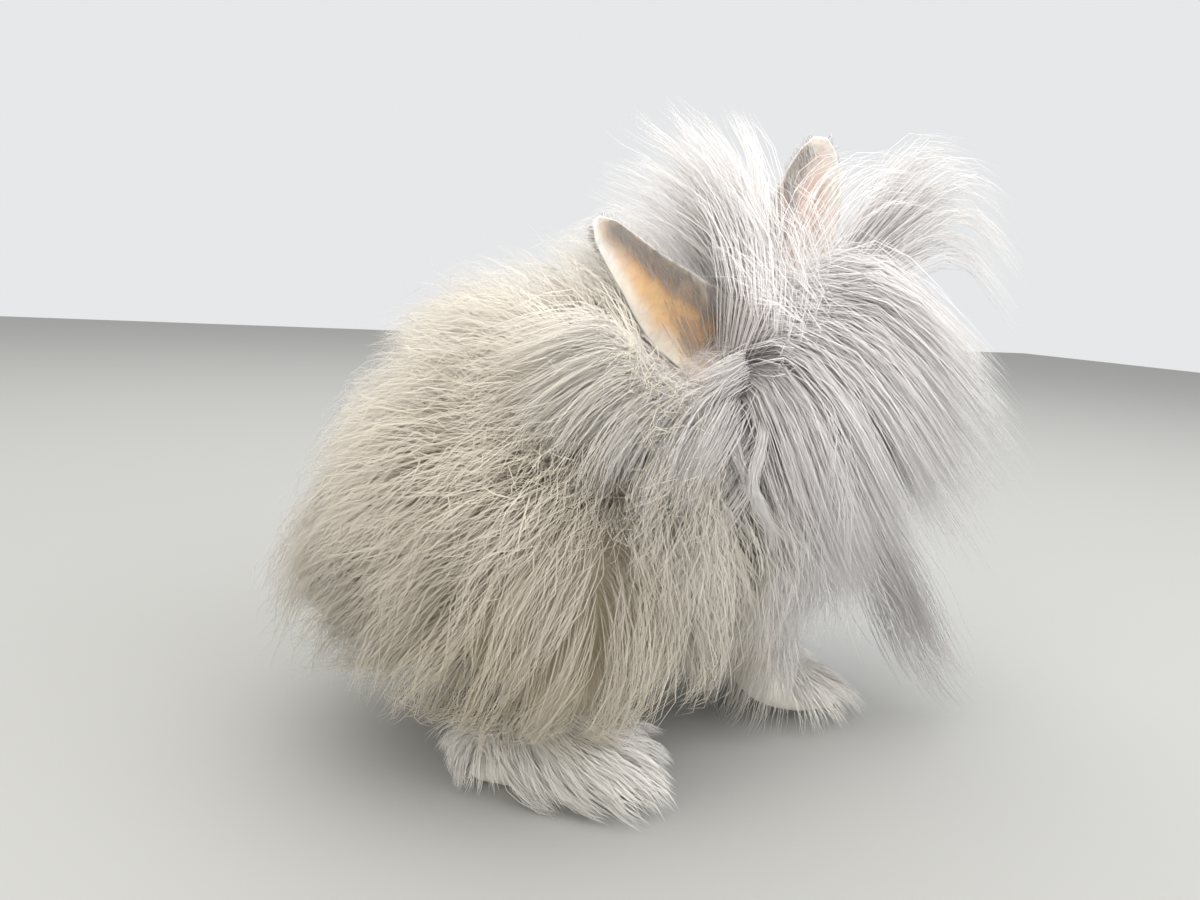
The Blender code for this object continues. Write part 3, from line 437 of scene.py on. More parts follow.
def paintedMaterial(name, surface, noise=None, level=None, bumpNoise=None, bump=None):
    # the piece's own colours, lightened and darkened by a noise, with a relief of the same or another
    # noise; a noise's scale is the number of its waves in a metre
    made, tree, shader = newMaterial(name, surface)
    colour = addNode(tree, "ShaderNodeVertexColor", {"layer_name": "coatColour"}).outputs["Color"]
    if noise:
        place = {"Vector": addNode(tree, "ShaderNodeTexCoord").outputs["Object"]}
        grain = addNode(tree, "ShaderNodeTexNoise", noise, place)
        share = addNode(tree, "ShaderNodeMapRange", level, {"Value": grain.outputs["Fac"]})
        colour = addNode(tree, "ShaderNodeVectorMath", {"operation": "SCALE"},
                         {0: colour, "Scale": share.outputs["Result"]}).outputs["Vector"]
    if bumpNoise:
        grain = addNode(tree, "ShaderNodeTexNoise", bumpNoise, place)
    if bump:
        relief = addNode(tree, "ShaderNodeBump", bump, {"Height": grain.outputs["Fac"]})
        tree.links.new(relief.outputs["Normal"], shader.inputs["Normal"])
    tree.links.new(colour, shader.inputs["Base Color"])
    return made


def hornClaw():
    # horn: pale grey-brown, half gloss, darker in bands of 1.4 mm
    made, tree, shader = newMaterial("hornClaw", {"Roughness": 0.35, "IOR": 1.54})
    place = {"Vector": addNode(tree, "ShaderNodeTexCoord").outputs["Object"]}
    bands = addNode(tree, "ShaderNodeTexNoise", {"Scale": 700.0, "Detail": 2.0}, place)
    pale, dark = (*linearColour("#B5A592"), 1), (*linearColour("#7A6A5B"), 1)
    ramp = addNode(tree, "ShaderNodeMix", {"data_type": "RGBA", "A": pale, "B": dark},
                   {"Factor": bands.outputs["Fac"]})
    tree.links.new(ramp.outputs["Result"], shader.inputs["Base Color"])
    return made


# long, very fine keratin fibre, matt with a soft halo: high roughness and a pale sheen, with streaks
# 2.4 mm apart that lighten and darken groups of fibres
woolFinish = paintedMaterial("angoraWool", {
    "Roughness": 0.85, "Specular IOR Level": 0.10, "Sheen Weight": 0.45, "Sheen Roughness": 0.5,
    "Sheen Tint": (*linearColour("#F6F2EC"), 1), "IOR": 1.55,
    "Subsurface Weight": 0.4, "Subsurface Scale": 0.004, "Subsurface Radius": (1.0, 0.9, 0.8),
}, noise={"Scale": 420.0, "Detail": 2.0}, level={"To Min": 0.93, "To Max": 1.07})
# skin under dense down: matt, with the grain of its tufts, 1.7 mm apart
skinFinish = paintedMaterial("downySkin", {
    "Roughness": 0.9, "Specular IOR Level": 0.15, "Sheen Weight": 0.3,
}, noise={"Scale": 600.0, "Detail": 3.0}, level={"To Min": 0.8, "To Max": 1.12},
    bump={"Strength": 0.5, "Distance": 0.0006})
# thin living skin with blood behind it: a little light passes through, with faint veins 8 mm apart and
# pores of 0.7 mm
earFinish = paintedMaterial("earLeather", {
    "Roughness": 0.55, "Specular IOR Level": 0.3, "Subsurface Weight": 0.35, "Subsurface Scale": 0.004,
    "Subsurface Radius": (1.0, 0.45, 0.28),
}, noise={"Scale": 130.0, "Detail": 4.0, "Distortion": 1.6},
    level={"From Min": 0.3, "From Max": 0.7, "To Min": 0.88, "To Max": 1.08},
    bumpNoise={"Scale": 1500.0, "Detail": 2.0}, bump={"Strength": 0.3, "Distance": 0.0003})
# glass eye: a clear coat over a dark brown iris and a black pupil
eyeFinish = paintedMaterial("glassEye", {
    "Roughness": 0.08, "Coat Weight": 1.0, "Coat Roughness": 0.02, "IOR": 1.5, "Specular IOR Level": 0.5,
})
clawFinish = hornClaw()


def finishPiece(piece, material, slotName, *nodes):
    piece.data.materials.append(material)
    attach(piece, "root")
    if nodes:
        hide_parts(*nodes)


# the shape of the ears, which the skin and the coat need too

ear = {
    "width": 0.046, "wall": 0.0030, "rootSpread": 0.020, "rows": 72, "columns": 44,
    # share of the length, half width over width / 2, of an ear seen aslant and of one seen from the front
    "pointed": np.array([(0, 0.60), (0.15, 0.84), (0.30, 1.0), (0.43, 0.99), (0.56, 0.84), (0.70, 0.62),
                         (0.83, 0.47), (0.94, 0.33), (1, 0.12)]),
    "round": np.array([(0, 0.50), (0.18, 0.74), (0.36, 0.92), (0.52, 0.97), (0.70, 0.90), (0.84, 0.70),
                       (0.94, 0.44), (1, 0.16)]),
}
# each ear's tip, the way that its inside faces, the way and the distance over which hair leaves it clear
# from the share openFrom of its length on, and the bow of its middle line
ears = {
    "right": {"side": -1, "tip": vec(0.000, -0.040, 0.2785), "opening": vec(-0.30, -0.93, -0.12),
              "clearWay": vec(-0.37, -0.93, -0.05), "clearTo": 0.075, "openFrom": 0.04,
              "bow": -0.006, "outline": "pointed", "inside": "earInside"},
    "left": {"side": 1, "tip": vec(0.138, -0.004, 0.335), "opening": vec(-0.10, -0.95, -0.10),
             "clearWay": vec(-0.50, -0.86, -0.12), "clearTo": 0.040, "openFrom": 0.24,
             "bow": 0.0, "outline": "round", "inside": "earFar"},
}


def earFrame(which):
    root = onHead(0.002, which["side"] * ear["rootSpread"], -0.011)
    length = np.linalg.norm(which["tip"] - root)
    axis = (which["tip"] - root) / length
    opening = unit(which["opening"] - axis * dot(which["opening"], axis))
    return root, length, axis, opening, np.cross(axis, opening)


def earMouth(which):
    # the bare skin below the open side of an ear, where its inside ends
    root, length, axis, opening, wide = earFrame(which)
    return root + axis * 0.018 + which["side"] * wide * 0.015 + opening * 0.010


def earHalfWidth(which, t):
    outline = ear[which["outline"]]
    return ear["width"] / 2 * np.interp(t, outline[:, 0], outline[:, 1])


# the line on the near side of the crown from which the forelock is combed
partingLine = vec(0.0985, -0.030, 0.238), vec(0.0935, -0.034, 0.222)
partingWidth = 0.004


def segmentDistance(points, a, b):
    along = b - a
    share = np.clip(((points - a) @ along) / (along @ along), 0, 1)
    return np.linalg.norm(points - a - share[:, None] * along, axis=1)


# the skin: every body shape joined, remeshed as one surface and smoothed

skinSettings = {
    "voxel": 0.0016, "smoothTimes": 6, "smoothFactor": 0.5, "faceFineFrom": 0.050, "faceFineReach": 0.07,
    "socketOut": 0.006, "socketDepth": 0.0026, "socketReach": 0.0085, "partingShadeReach": 0.009,
    "noseReach": 0.007, "mouthReach": 0.013,
}


def faceCreases():
    # mouth, philtrum and nostrils as short lines on the muzzle: (points, depth, width)
    places = np.linspace(-1, 1, 9)
    mouth = [skullPoint(0.985, s * 0.0125 * abs(s) ** 0.2, -0.0092 - 0.0016 * (1 - abs(s)))
             - faceWay * 0.016 * abs(s) ** 1.4 for s in places]
    philtrum = [skullPoint(1.03, 0, 0.0010), skullPoint(1.02, 0, -0.0095)]
    slits = [[skullPoint(1.03, side * 0.0014, 0.0006), skullPoint(1.00, side * 0.0052, 0.0050)]
             for side in (-1, 1)]
    return [(mouth, 0.0016, 0.0009), (philtrum, 0.0014, 0.0008)] + [(slit, 0.0022, 0.0010) for slit in slits]


def refineFace(work):
    # the mesh of the face is cut finer, for the creases
    ahead, reach = Vector(faceWay), skinSettings["faceFineReach"]
    start = ahead * skinSettings["faceFineFrom"] + Vector(head["crown"] + modelShift)

    def onFace(place):
        return (place - start).dot(ahead) > 0 and (place - start).length < reach

    fine = [e for e in work.edges if all(onFace(v.co) for v in e.verts)]
    bmesh.ops.subdivide_edges(work, edges=fine, cuts=1, use_grid_fill=True)
    bmesh.ops.triangulate(work, faces=[f for f in work.faces if len(f.verts) > 4])


def sunkSkin(points):
    # how far the skin sinks in the creases of the face and in the sockets, which the lids then edge
    sunk = np.zeros(len(points))
    for line, depth, width in faceCreases():
        near = np.min([segmentDistance(points, a, b) for a, b in zip(line, line[1:])], axis=0)
        sunk = np.maximum(sunk, depth * np.exp(-(near / width) ** 2))
    for side in (-1, 1):
        near = distance(points, eyeCentre(side) + lidAxis(side) * skinSettings["socketOut"])
        socket = skinSettings["socketDepth"] * np.exp(-(near / skinSettings["socketReach"]) ** 2)
        sunk = np.maximum(sunk, socket)
    return sunk


def skinColours(points, sunk):
    # the coat's root colour with its painted shade, a pink nose, painted shade in the creases and the eye
    # sockets, the warm mouths of the ears with a little painted shade, and painted shade at the parting
    colours = coatColour(points, np.full(len(points), 0.75))

    def nearness(off, reach):
        return np.exp(-(off / skinSettings[reach]) ** 2)[:, None]

    nose = skullPoint(1.02, 0, 0.001)
    colours = mix(colours, palette["nosePink"], 0.6 * nearness(distance(points, nose), "noseReach"))
    # painted shade in the creases of the face and the eye sockets, darker as the skin sinks deeper
    colours = mix(colours, palette["earDark"], np.clip(sunk / 0.0016, 0, 1)[:, None] * 0.6)
    for which in ears.values():
        # the ear's inside colour carried down onto the skin, with a little painted shade
        mouth = mix(palette[which["inside"]], palette["earDark"], 0.16)
        colours = mix(colours, mouth, nearness(distance(points, earMouth(which)), "mouthReach"))
    # painted shade at the parting, where the forelock's root lies in shade
    near = segmentDistance(points, *partingLine)
    return mix(colours, palette["parting"], 0.9 * nearness(near, "partingShadeReach"))


def buildSkin():
    piece = meshPiece("skin", *joinShapes(bodyShapes.values()))
    remesh = piece.modifiers.new("oneSurface", "REMESH")
    remesh.mode = "VOXEL"
    remesh.voxel_size = skinSettings["voxel"] * 1
    remesh.use_smooth_shade = True
    soften = piece.modifiers.new("soften", "SMOOTH")
    soften.factor = skinSettings["smoothFactor"]
    soften.iterations = skinSettings["smoothTimes"]
    applied = bpy.data.meshes.new_from_object(piece.evaluated_get(bpy.context.evaluated_depsgraph_get()))
    piece.modifiers.clear()
    piece.data = applied
    editMesh(piece, refineFace)
    mesh = piece.data
    points, normals = np.empty((len(mesh.vertices), 3)), np.empty((len(mesh.vertices), 3))
    mesh.vertices.foreach_get("co", points.ravel())
    mesh.vertices.foreach_get("normal", normals.ravel())
    points -= modelShift
    sunk = sunkSkin(points)
    points -= normals * sunk[:, None]
    points[:, 2] = np.maximum(points[:, 2], 0.0)
    setPoints(mesh, points)
    setColours(mesh, skinColours(points, sunk))
    mesh.polygons.foreach_set("use_smooth", np.ones(len(mesh.polygons), bool))
    mesh.update()
    finishPiece(piece, skinFinish, "wool", "torso", "neck", "head", "tail", "hind_leg_right", "hind_leg_left",
                "foreleg_right", "foreleg_left")
    print("skin", len(mesh.polygons), "faces")
    return piece


skin = buildSkin()
skinTree = BVHTree.FromPolygons([v.co for v in skin.data.vertices], [p.vertices for p in skin.data.polygons])


# ears

def earSurface(which, t, across, layer):
    # a leaf rolled into a gutter at its root and a shallow cup above: at t along the ear, an arc whose
    # reach falls from 112 degrees, with across from -1 to 1; layer is +1 outside and -1 inside
    root, length, axis, opening, wide = earFrame(which)
    half = earHalfWidth(which, t)
    reach = np.radians(112 - 66 * np.minimum(1, t / 0.40) - 16 * t)
    radius = half / np.sin(np.minimum(reach, np.pi / 2))
    angle = reach * across
    spoke = wide * np.sin(angle)[..., None] - opening * np.cos(angle)[..., None]
    bow = np.sin(np.pi * t)[..., None]
    centre = root + axis * (length * t)[..., None] - opening * 0.009 * bow + wide * which["bow"] * bow
    thick = ear["wall"] * (1 - 0.60 * t) * (1 - 0.40 * np.abs(across) ** 3)
    thick = thick * np.sqrt(np.clip(1 - np.abs(across) ** 12, 0, 1))
    crinkle = 0.0006 * np.sin(angle * 3 + t * 9) * t
    spoke = spoke * (radius + crinkle + layer * thick / 2)[..., None]
    return centre + opening * (radius * np.cos(reach * 0.5))[..., None] + spoke


def earColours(which, points, t, across, isInner):
    # inside: warm in the middle, paler towards the tip, browned down in its mouth by painted shade, a furred
    # band along the edge that lies uppermost, with an uneven border, and a pale rim
    outside = mix(palette["earBack"], palette["earRim"], smoothStep(0.75, 1.0, t)[:, None])
    upper = across * -which["side"] + 0.10 * softNoise(points, 0.02, 21) - 0.25 * (t - 0.4)
    inside = palette[which["inside"]]
    tints = [("earBand", 0.85 * smoothStep(0.66, 0.92, t)),
             ("earRim", 0.65 * smoothStep(0.35, 0.80, -upper)),
             ("earBand", 0.9 * smoothStep(0.30, 0.75, upper)),
             # painted shade down in the ear's mouth
             ("earDark", 0.22 * smoothStep(0.26, 0.04, t))]
    for tint, share in tints:
        inside = mix(inside, palette[tint], share[:, None])
    rim = np.maximum(smoothStep(0.90, 1.0, np.abs(across)), smoothStep(0.94, 1.0, t))[:, None]
    return mix(mix(outside, inside, isInner[:, None]), palette["earRim"], 0.8 * rim)


def buildEar(word, which):
    rows, columns = ear["rows"], ear["columns"]
    line = np.linspace(-1, 1, columns)
    t, across = np.meshgrid(np.linspace(0, 1, rows), line, indexing="ij")
    # rows of outer then inner points make one closed band round the ear
    points = np.concatenate([earSurface(which, t, across, 1.0),
                             earSurface(which, t, across[:, ::-1], -1.0)], 1).reshape(-1, 3)
    loop = columns * 2
    column = np.arange(columns - 1)
    low = np.stack([column, column + 1, loop - 2 - column, loop - 1 - column], -1)
    quads = np.vstack([gridFaces(rows, loop), low, low[:, ::-1] + (rows - 1) * loop])
    isInner = np.tile(np.repeat([0.0, 1.0], columns), rows)
    along = np.repeat(np.linspace(0, 1, rows), loop)
    colours = earColours(which, points, along, np.tile(np.concatenate([line, line[::-1]]), rows), isInner)
    piece = meshPiece("ear" + word.capitalize(), points, quads, colours=colours)
    editMesh(piece, weld, faceOutward)
    finishPiece(piece, earFinish, "ear_skin", "ear_" + word)


for word, which in ears.items():
    buildEar(word, which)
print("ears made")


# eyes, lids and claws

eyeball = {"rows": 30, "columns": 48, "bulge": 0.05, "bulgeReach": 0.55}
# ring is the share of the eye's radius at which the lid lies, wide and high its almond
lid = {"thick": 0.0019, "ring": 0.88, "wide": 1.06, "high": 0.80, "shade": 0.7, "around": 64, "section": 16}
claw = {"length": 0.011, "height": 0.0042, "arch": vec(0, 0, 0.0012)}


def buildEye(name, side):
    # a sphere whose pole looks along the axis, swollen a little there as a cornea is
    rows, columns, bulge = eyeball["rows"], eyeball["columns"], eyeball["bulge"]
    centre, radius, axis = eyeCentre(side), head["eyeRadius"], lidAxis(side)
    polar, angle = np.meshgrid(np.linspace(0, np.pi, rows + 2)[1:-1], math.tau * np.arange(columns) / columns,
                               indexing="ij")
    first = unit(np.cross(axis, [0.3, 0.2, 1.0]))
    second = np.cross(axis, first)
    swell = 1 + bulge * np.exp(-(polar / eyeball["bulgeReach"]) ** 2)
    spoke = first * np.cos(angle)[..., None] + second * np.sin(angle)[..., None]
    rings = axis * np.cos(polar)[..., None] + spoke * np.sin(polar)[..., None]
    rings = centre + rings * (radius * swell)[..., None]
    points = np.vstack([rings.reshape(-1, 3), centre + axis * radius * (1 + bulge), centre - axis * radius])
    # from the pole outwards: pupil, iris, its dark edge, and the white
    polars = np.concatenate([polar.ravel(), [0, np.pi]])
    colours = linearColour("#050403")
    for tint, low, high in (("#3A2015", 0.36, 0.46), ("#120B08", 0.80, 0.95), ("#CFC6BE", 1.15, 1.35)):
        colours = mix(colours, linearColour(tint), smoothStep(low, high, polars)[:, None])
    caps = capFaces(rows, columns)[:, [0, 2, 1]]
    piece = meshPiece(name, points, gridFaces(rows, columns)[:, ::-1], caps, colours)
    editMesh(piece, faceOutward)
    return piece


def buildLid(name, side):
    # a soft ring round the eye, narrowed to an almond: a circle swept round a flattened circle
    axis, radius = lidAxis(side), head["eyeRadius"]
    first = unit(faceWay - axis * dot(faceWay, axis))
    second = np.cross(axis, first)
    turn, roll = np.meshgrid(math.tau * np.arange(lid["around"]) / lid["around"],
                             math.tau * np.arange(lid["section"]) / lid["section"], indexing="ij")
    turn, roll = turn[..., None], roll[..., None]
    spoke = first * np.cos(turn) * lid["wide"] + second * np.sin(turn) * lid["high"]
    centre = eyeCentre(side) + axis * radius * (0.60 + 0.10 * np.abs(np.sin(turn)))
    points = centre + spoke * (radius * lid["ring"] + lid["thick"] * np.cos(roll))
    points = (points + axis * lid["thick"] * 1.2 * np.sin(roll)).reshape(-1, 3)
    colours = np.tile(palette["earDark"] * lid["shade"], (len(points), 1))
    piece = meshPiece(name, points, gridFaces(lid["around"], lid["section"], True), colours=colours)
    editMesh(piece, faceOutward)
    return piece


def clawShapes(toes, ahead, spacing, reach):
    # four claws side by side before the toes, the outer ones a little shorter
    level = vec(-ahead[1], ahead[0], 0)
    for place in (-1.5, -0.5, 0.5, 1.5):
        tip = toes + ahead * (reach - abs(place) * 0.003) + level * place * spacing
        tip[2] = claw["height"]
        root = tip - ahead * claw["length"] + claw["arch"]
        yield tube([root, mix(root, tip, 0.6) + claw["arch"], tip - claw["arch"]],
                   [(0, 0.0014, 0.0016), (0.6, 0.0011, 0.0014), (1, 0.0003, 0.0004)], -downWay)


def buildClaws():
    shapes = []
    for word, side in sides:
        shapes += clawShapes(heelAndToes(side)[1], toeDirection(side), 0.0075, 0.010)
        shapes += clawShapes(np.array(forelegPath(side)[-1]), vec(1, 0, 0), 0.0055, 0.009)
    piece = meshPiece("claws", *joinShapes(shapes, 9, 10))
    editMesh(piece, faceOutward)
    finishPiece(piece, clawFinish, "foot_wool")


for word, side in sides:
    finishPiece(buildEye("eye" + word, side), eyeFinish, "eye", "eye_" + word.lower())
    finishPiece(buildLid("lid" + word, side), skinFinish, "face_wool")
buildClaws()
print("eyes, lids and claws made")


# the coat: tapered tufts of fibre that leave the skin, bend over and gather into locks

coat = {
    "amount": 1.0,  # share of the tufts that are grown
    "pieceTriangles": 185000,  # a piece is cut before it passes this
    "patch": 0.003,  # side of a tuft's patch on the bake map
    "floor": 0.0012,  # no tuft comes nearer to the ground
    "sunk": 0.0006,  # depth of a tuft's root in the skin
    "triangles": 0,  # how many have been made
    # share of a tuft's length and of its width there
    "profile": np.array([(0, 0.75), (0.25, 1.0), (0.6, 0.85), (0.85, 0.5), (1, 0.12)]),
    # share of a tuft's length and how dark its painted shade is there, from the skin's 1 to the tip's 0
    "paintedDepthShade": np.array([(0, 1.0), (0.45, 0.42), (1, 0.0)]),
}
# what a coat piece's look is where its own doesn't say: wave is the depth of its crimp, waves how many a
# tuft has, and frizz the scatter of its rings, for a tuft of fullSize; soft is the share of the fleece's
# own shading, girth the depth under the roots from which that shading spreads, and uneven how much the
# tufts differ in tone; onEar lets tufts lie on an ear, and onBack shortens them to the back's outline
plainLook = {"fullSize": 0.06, "waves": 0.9, "wave": 0.0, "soft": 0.80, "girth": 0.05, "uneven": 0.05,
             "slot": "wool", "paint": coatColour, "onEar": False, "onBack": False}
# where the roots of each piece lie on the bake map: lowest and highest corner
bakeAreas = {
    "coatDown": (0.01, 0.01, 0.60, 0.60), "coatBody": (0.01, 0.01, 0.60, 0.60),
    "coatHead": (0.01, 0.62, 0.60, 0.98), "coatRuff": (0.62, 0.82, 0.79, 0.98),
    "coatHaunchRight": (0.62, 0.01, 0.78, 0.20), "coatHaunchLeft": (0.62, 0.21, 0.78, 0.40),
    "coatFace": (0.62, 0.41, 0.78, 0.60), "coatTail": (0.80, 0.44, 0.97, 0.62),
    "coatForelegRight": (0.62, 0.71, 0.70, 0.81), "coatForelegLeft": (0.71, 0.71, 0.79, 0.81),
    "coatEarRootRight": (0.62, 0.66, 0.70, 0.70), "coatEarRootLeft": (0.71, 0.66, 0.79, 0.70),
    "coatEarRight": (0.80, 0.66, 0.97, 0.80), "coatEarLeft": (0.80, 0.82, 0.97, 0.97),
    "shankRight": (0.80, 0.01, 0.88, 0.21), "shankLeft": (0.80, 0.22, 0.88, 0.42),
    "footRight": (0.90, 0.01, 0.98, 0.21), "footLeft": (0.90, 0.22, 0.98, 0.42),
}
# every random draw of the coat, one after the other
dice = np.random.default_rng(11)


def onMap(area, place):
    low, high = np.array(area[:2]), np.array(area[2:])
    return low + place * (high - low)


def howMany(count):
    return int(count * coat["amount"])


def vary(count, low, high):
    return dice.uniform(low, high, count)


def surfaceRoots(shape, count, density=None, tRange=(0.02, 0.98)):
    # evenly spread roots: cells of the surface are drawn by their area times the density there
    rows, columns = 160, 120
    angle = math.tau * np.arange(columns + 1) / columns
    t, angle = np.meshgrid(np.linspace(*tRange, rows), angle, indexing="ij")
    points = surfacePoints(shape, t, angle)
    normals = np.cross(np.gradient(points, axis=1), np.gradient(points, axis=0))
    area = np.linalg.norm(normals, axis=-1)
    outward = np.sign(np.sum(dot(normals, points - points.mean((0, 1)))))
    normals = unit(normals * outward)
    weight = area[:-1, :-1].ravel()
    if density is not None:
        weight = weight * density(points[:-1, :-1], normals[:-1, :-1]).ravel()
    total = np.cumsum(weight)
    picked = np.searchsorted(total, (np.arange(count) + dice.random(count)) / count * total[-1])
    picked = np.minimum(picked, len(weight) - 1)
    row, column = picked // columns, picked % columns
    u, v = dice.random((count, 1)), dice.random((count, 1))

    def blend(values):
        return mix(mix(values[row, column], values[row + 1, column], u),
                   mix(values[row, column + 1], values[row + 1, column + 1], u), v)

    place = np.stack([mix(t[row, 0], t[row + 1, 0], u[:, 0]), (column + v[:, 0]) / columns], -1)
    return blend(points), unit(blend(normals)), place


def skinRoots(part, count, density=None, tRange=(0.02, 0.98), reach=0.0035, where=None):
    # roots, normals and places of a part of the body, where it lies on the joined skin and not inside
    # another part
    roots, normals, place = surfaceRoots(bodyShapes[part], howMany(count), density, tRange)
    keep = np.array([skinTree.find_nearest(Vector(p), reach)[0] is not None for p in roots + modelShift])
    if where is not None:
        keep &= where(roots)
    return roots[keep], normals[keep], place[keep]


def awayFromEyes(roots, gap):
    return np.min([distance(roots, eyeCentre(side)) for side in (-1, 1)], axis=0) > head["eyeRadius"] + gap


def tangentOf(direction, normals):
    return unit(direction - normals * dot(direction, normals)[:, None])


def tuftCurves(roots, normals, along, sizes, steps):
    # cubic Bezier curves: off the skin, over a knee and a bend, down to the tip. The tip lies rise less
    # curl off the skin, run along it, drop downwards and sweep to the side
    along = tangentOf(along, normals)
    sizes = {"bend": 1.10} | sizes
    sizes = {key: np.broadcast_to(value, len(roots))[:, None] for key, value in sizes.items()}
    rise, run, drop, sweep = (sizes[key] for key in ("rise", "run", "drop", "sweep"))
    across = np.cross(normals, along)
    knee = roots + normals * rise * 0.66 + along * run * 0.06
    bend = roots + normals * rise * sizes["bend"] + along * run * 0.52
    bend = bend + downWay * drop * 0.25 + across * sweep * 0.3
    tip = roots + normals * (rise - sizes["curl"]) + along * run
    tip = tip + downWay * drop + across * sweep
    t = steps[None, :, None]
    u = 1 - t
    start = (roots - normals * coat["sunk"])[:, None]
    return start * u**3 + knee[:, None] * 3 * u * u * t + bend[:, None] * 3 * u * t * t + tip[:, None] * t**3


def gather(curves, every, amount, steps):
    # each tuft leans towards the nearest of the guides, more so towards its tip, so that locks form
    count = len(curves)
    guides = dice.choice(count, max(1, count // every), replace=False)
    middle = curves[:, len(steps) // 2]
    nearest = np.empty(count, int)
    for start in range(0, count, 2000):
        some = middle[start:start + 2000, None] - middle[None, guides]
        nearest[start:start + 2000] = guides[np.argmin(np.einsum("ijk,ijk->ij", some, some), axis=1)]
    return curves + (curves[nearest] - curves) * (amount * steps[None, :, None] ** 1.2)


def crimp(curves, steps, look):
    # frizz and one soft wave, less on short tufts than on long ones
    count, rings = curves.shape[:2]
    length = np.linalg.norm(curves[:, -1:] - curves[:, :1], axis=-1, keepdims=True)
    size = np.clip(length / look["fullSize"], 0.2, 1.2)
    steps = steps[None, :, None]
    frizz = dice.normal(size=(count, rings, 3)) * look["frizz"] * size * steps ** 1.5
    waveWay = unit(dice.normal(size=(count, 1, 3)))
    phase = dice.uniform(0, math.tau, (count, 1, 1))
    wave = waveWay * np.sin(phase + math.tau * look["waves"] * steps) * steps
    return curves + frizz + wave * size * look["wave"]


def drawnUp(curves, normals, lift):
    # the wool's lower edge: under the belly and the rump it is shorter, and what hangs below is drawn up
    roots = curves[:, 0] + normals * coat["sunk"]
    hang = roots[:, 2] - curves[..., 2].min(1)
    share = np.clip((roots[:, 2] - lift) / np.maximum(hang, 1e-4), 0.35, 1)
    share = mix(1.0, share, smoothStep(0.15, 0.45, -normals[:, 2]) * smoothStep(-0.35, -0.10, normals[:, 0]))
    curves = roots[:, None] + (curves - roots[:, None]) * share[:, None, None]
    curves[..., 2] += 0.8 * np.maximum(0, lift - curves[..., 2])
    return curves


def insideBox(curves):
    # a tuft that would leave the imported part's box is shortened towards its root until it fits
    corners = np.array(cadBounds)
    margin = 0.02 * (corners[1] - corners[0])
    low, high = corners[0] - modelShift - margin, corners[1] - modelShift + margin
    roots = curves[:, :1]
    reach = curves - roots
    room = np.where(reach > 0, high - roots, low - roots)
    share = np.where(np.abs(reach) > 1e-6, room / np.where(np.abs(reach) > 1e-6, reach, 1), 1)
    return roots + reach * np.clip(share.min((1, 2)), 0.05, 1)[:, None, None]


# the side outline of the back, rump to shoulders: (outward x, outward z, distance) of each plane
backPlanes = [(-0.926, 0.379, 0.173), (-0.842, 0.540, 0.193), (-0.545, 0.838, 0.240), (0.0, 1.0, 0.276)]


def insideBack(curves):
    # wool that stands past the back's outline is shortened to it, give or take a few millimetres
    roots = curves[:, :1]
    for x, z, most in backPlanes:
        way = vec(x, 0, z)
        start = roots @ way
        past = (curves @ way - start).max(1, keepdims=True)
        room = most + dice.normal(size=past.shape) * 0.006 - start
        share = np.clip(np.where(past > room, room / np.maximum(past, 1e-6), 1), 0.3, 1)
        curves = roots + (curves - roots) * share[..., None]
    return curves


def clearOfEars(curves):
    # false for tufts that pass through an ear or hang in front of the open side of its upper part
    keep = np.ones(len(curves), bool)
    for which in ears.values():
        root, length, axis, opening, wide = earFrame(which)
        local = curves - root
        # how far the point lies from the ear's leaf along the clear way, and where on the leaf
        out = dot(local, opening) / dot(which["clearWay"], opening)
        local = local - which["clearWay"] * out[..., None]
        t = dot(local, axis) / length
        off = np.abs(dot(local, wide) - which["bow"] * np.sin(np.pi * np.clip(t, 0, 1)))
        inFront = (t > which["openFrom"]) & (t < 1.0) & (off < earHalfWidth(which, t) * 0.97)
        inFront &= (out > -0.012) & (out < which["clearTo"])
        inFront[:, 0] = False
        keep &= ~inFront.any(1)
    # and for those that would cover the dark parting at the forelock's root
    way = ears["right"]["clearWay"]
    flat = curves - way * ((curves - partingLine[0]) @ way / (way @ way))[..., None]
    covers = segmentDistance(flat.reshape(-1, 3), *partingLine).reshape(flat.shape[:2]) < partingWidth / 2
    covers[:, 0] = False
    return keep & ~covers.any(1)


def tuftFaces(rings):
    # faces of one tuft, three points a ring and one at its tip, and its patch of the bake map
    ring, corner = np.meshgrid(np.arange(rings - 2), np.arange(3), indexing="ij")
    after = (corner + 1) % 3
    quads = np.stack([ring * 3 + after, ring * 3 + corner, ring * 3 + 3 + corner, ring * 3 + 3 + after], -1)
    last, tip = (rings - 2) * 3, (rings - 1) * 3
    tips = np.array([(last + 1, last, tip), (last + 2, last + 1, tip), (last, last + 2, tip), (0, 1, 2)])
    patchU = np.concatenate([np.tile([0.0, 0.5, 1.0], rings - 1), [0.5]]) - 0.5
    patchV = np.concatenate([np.repeat(np.linspace(0, 0.9, rings - 1), 3), [1.0]]) - 0.5
    return quads.reshape(-1, 4), tips, np.stack([patchU, patchV], -1) * coat["patch"]


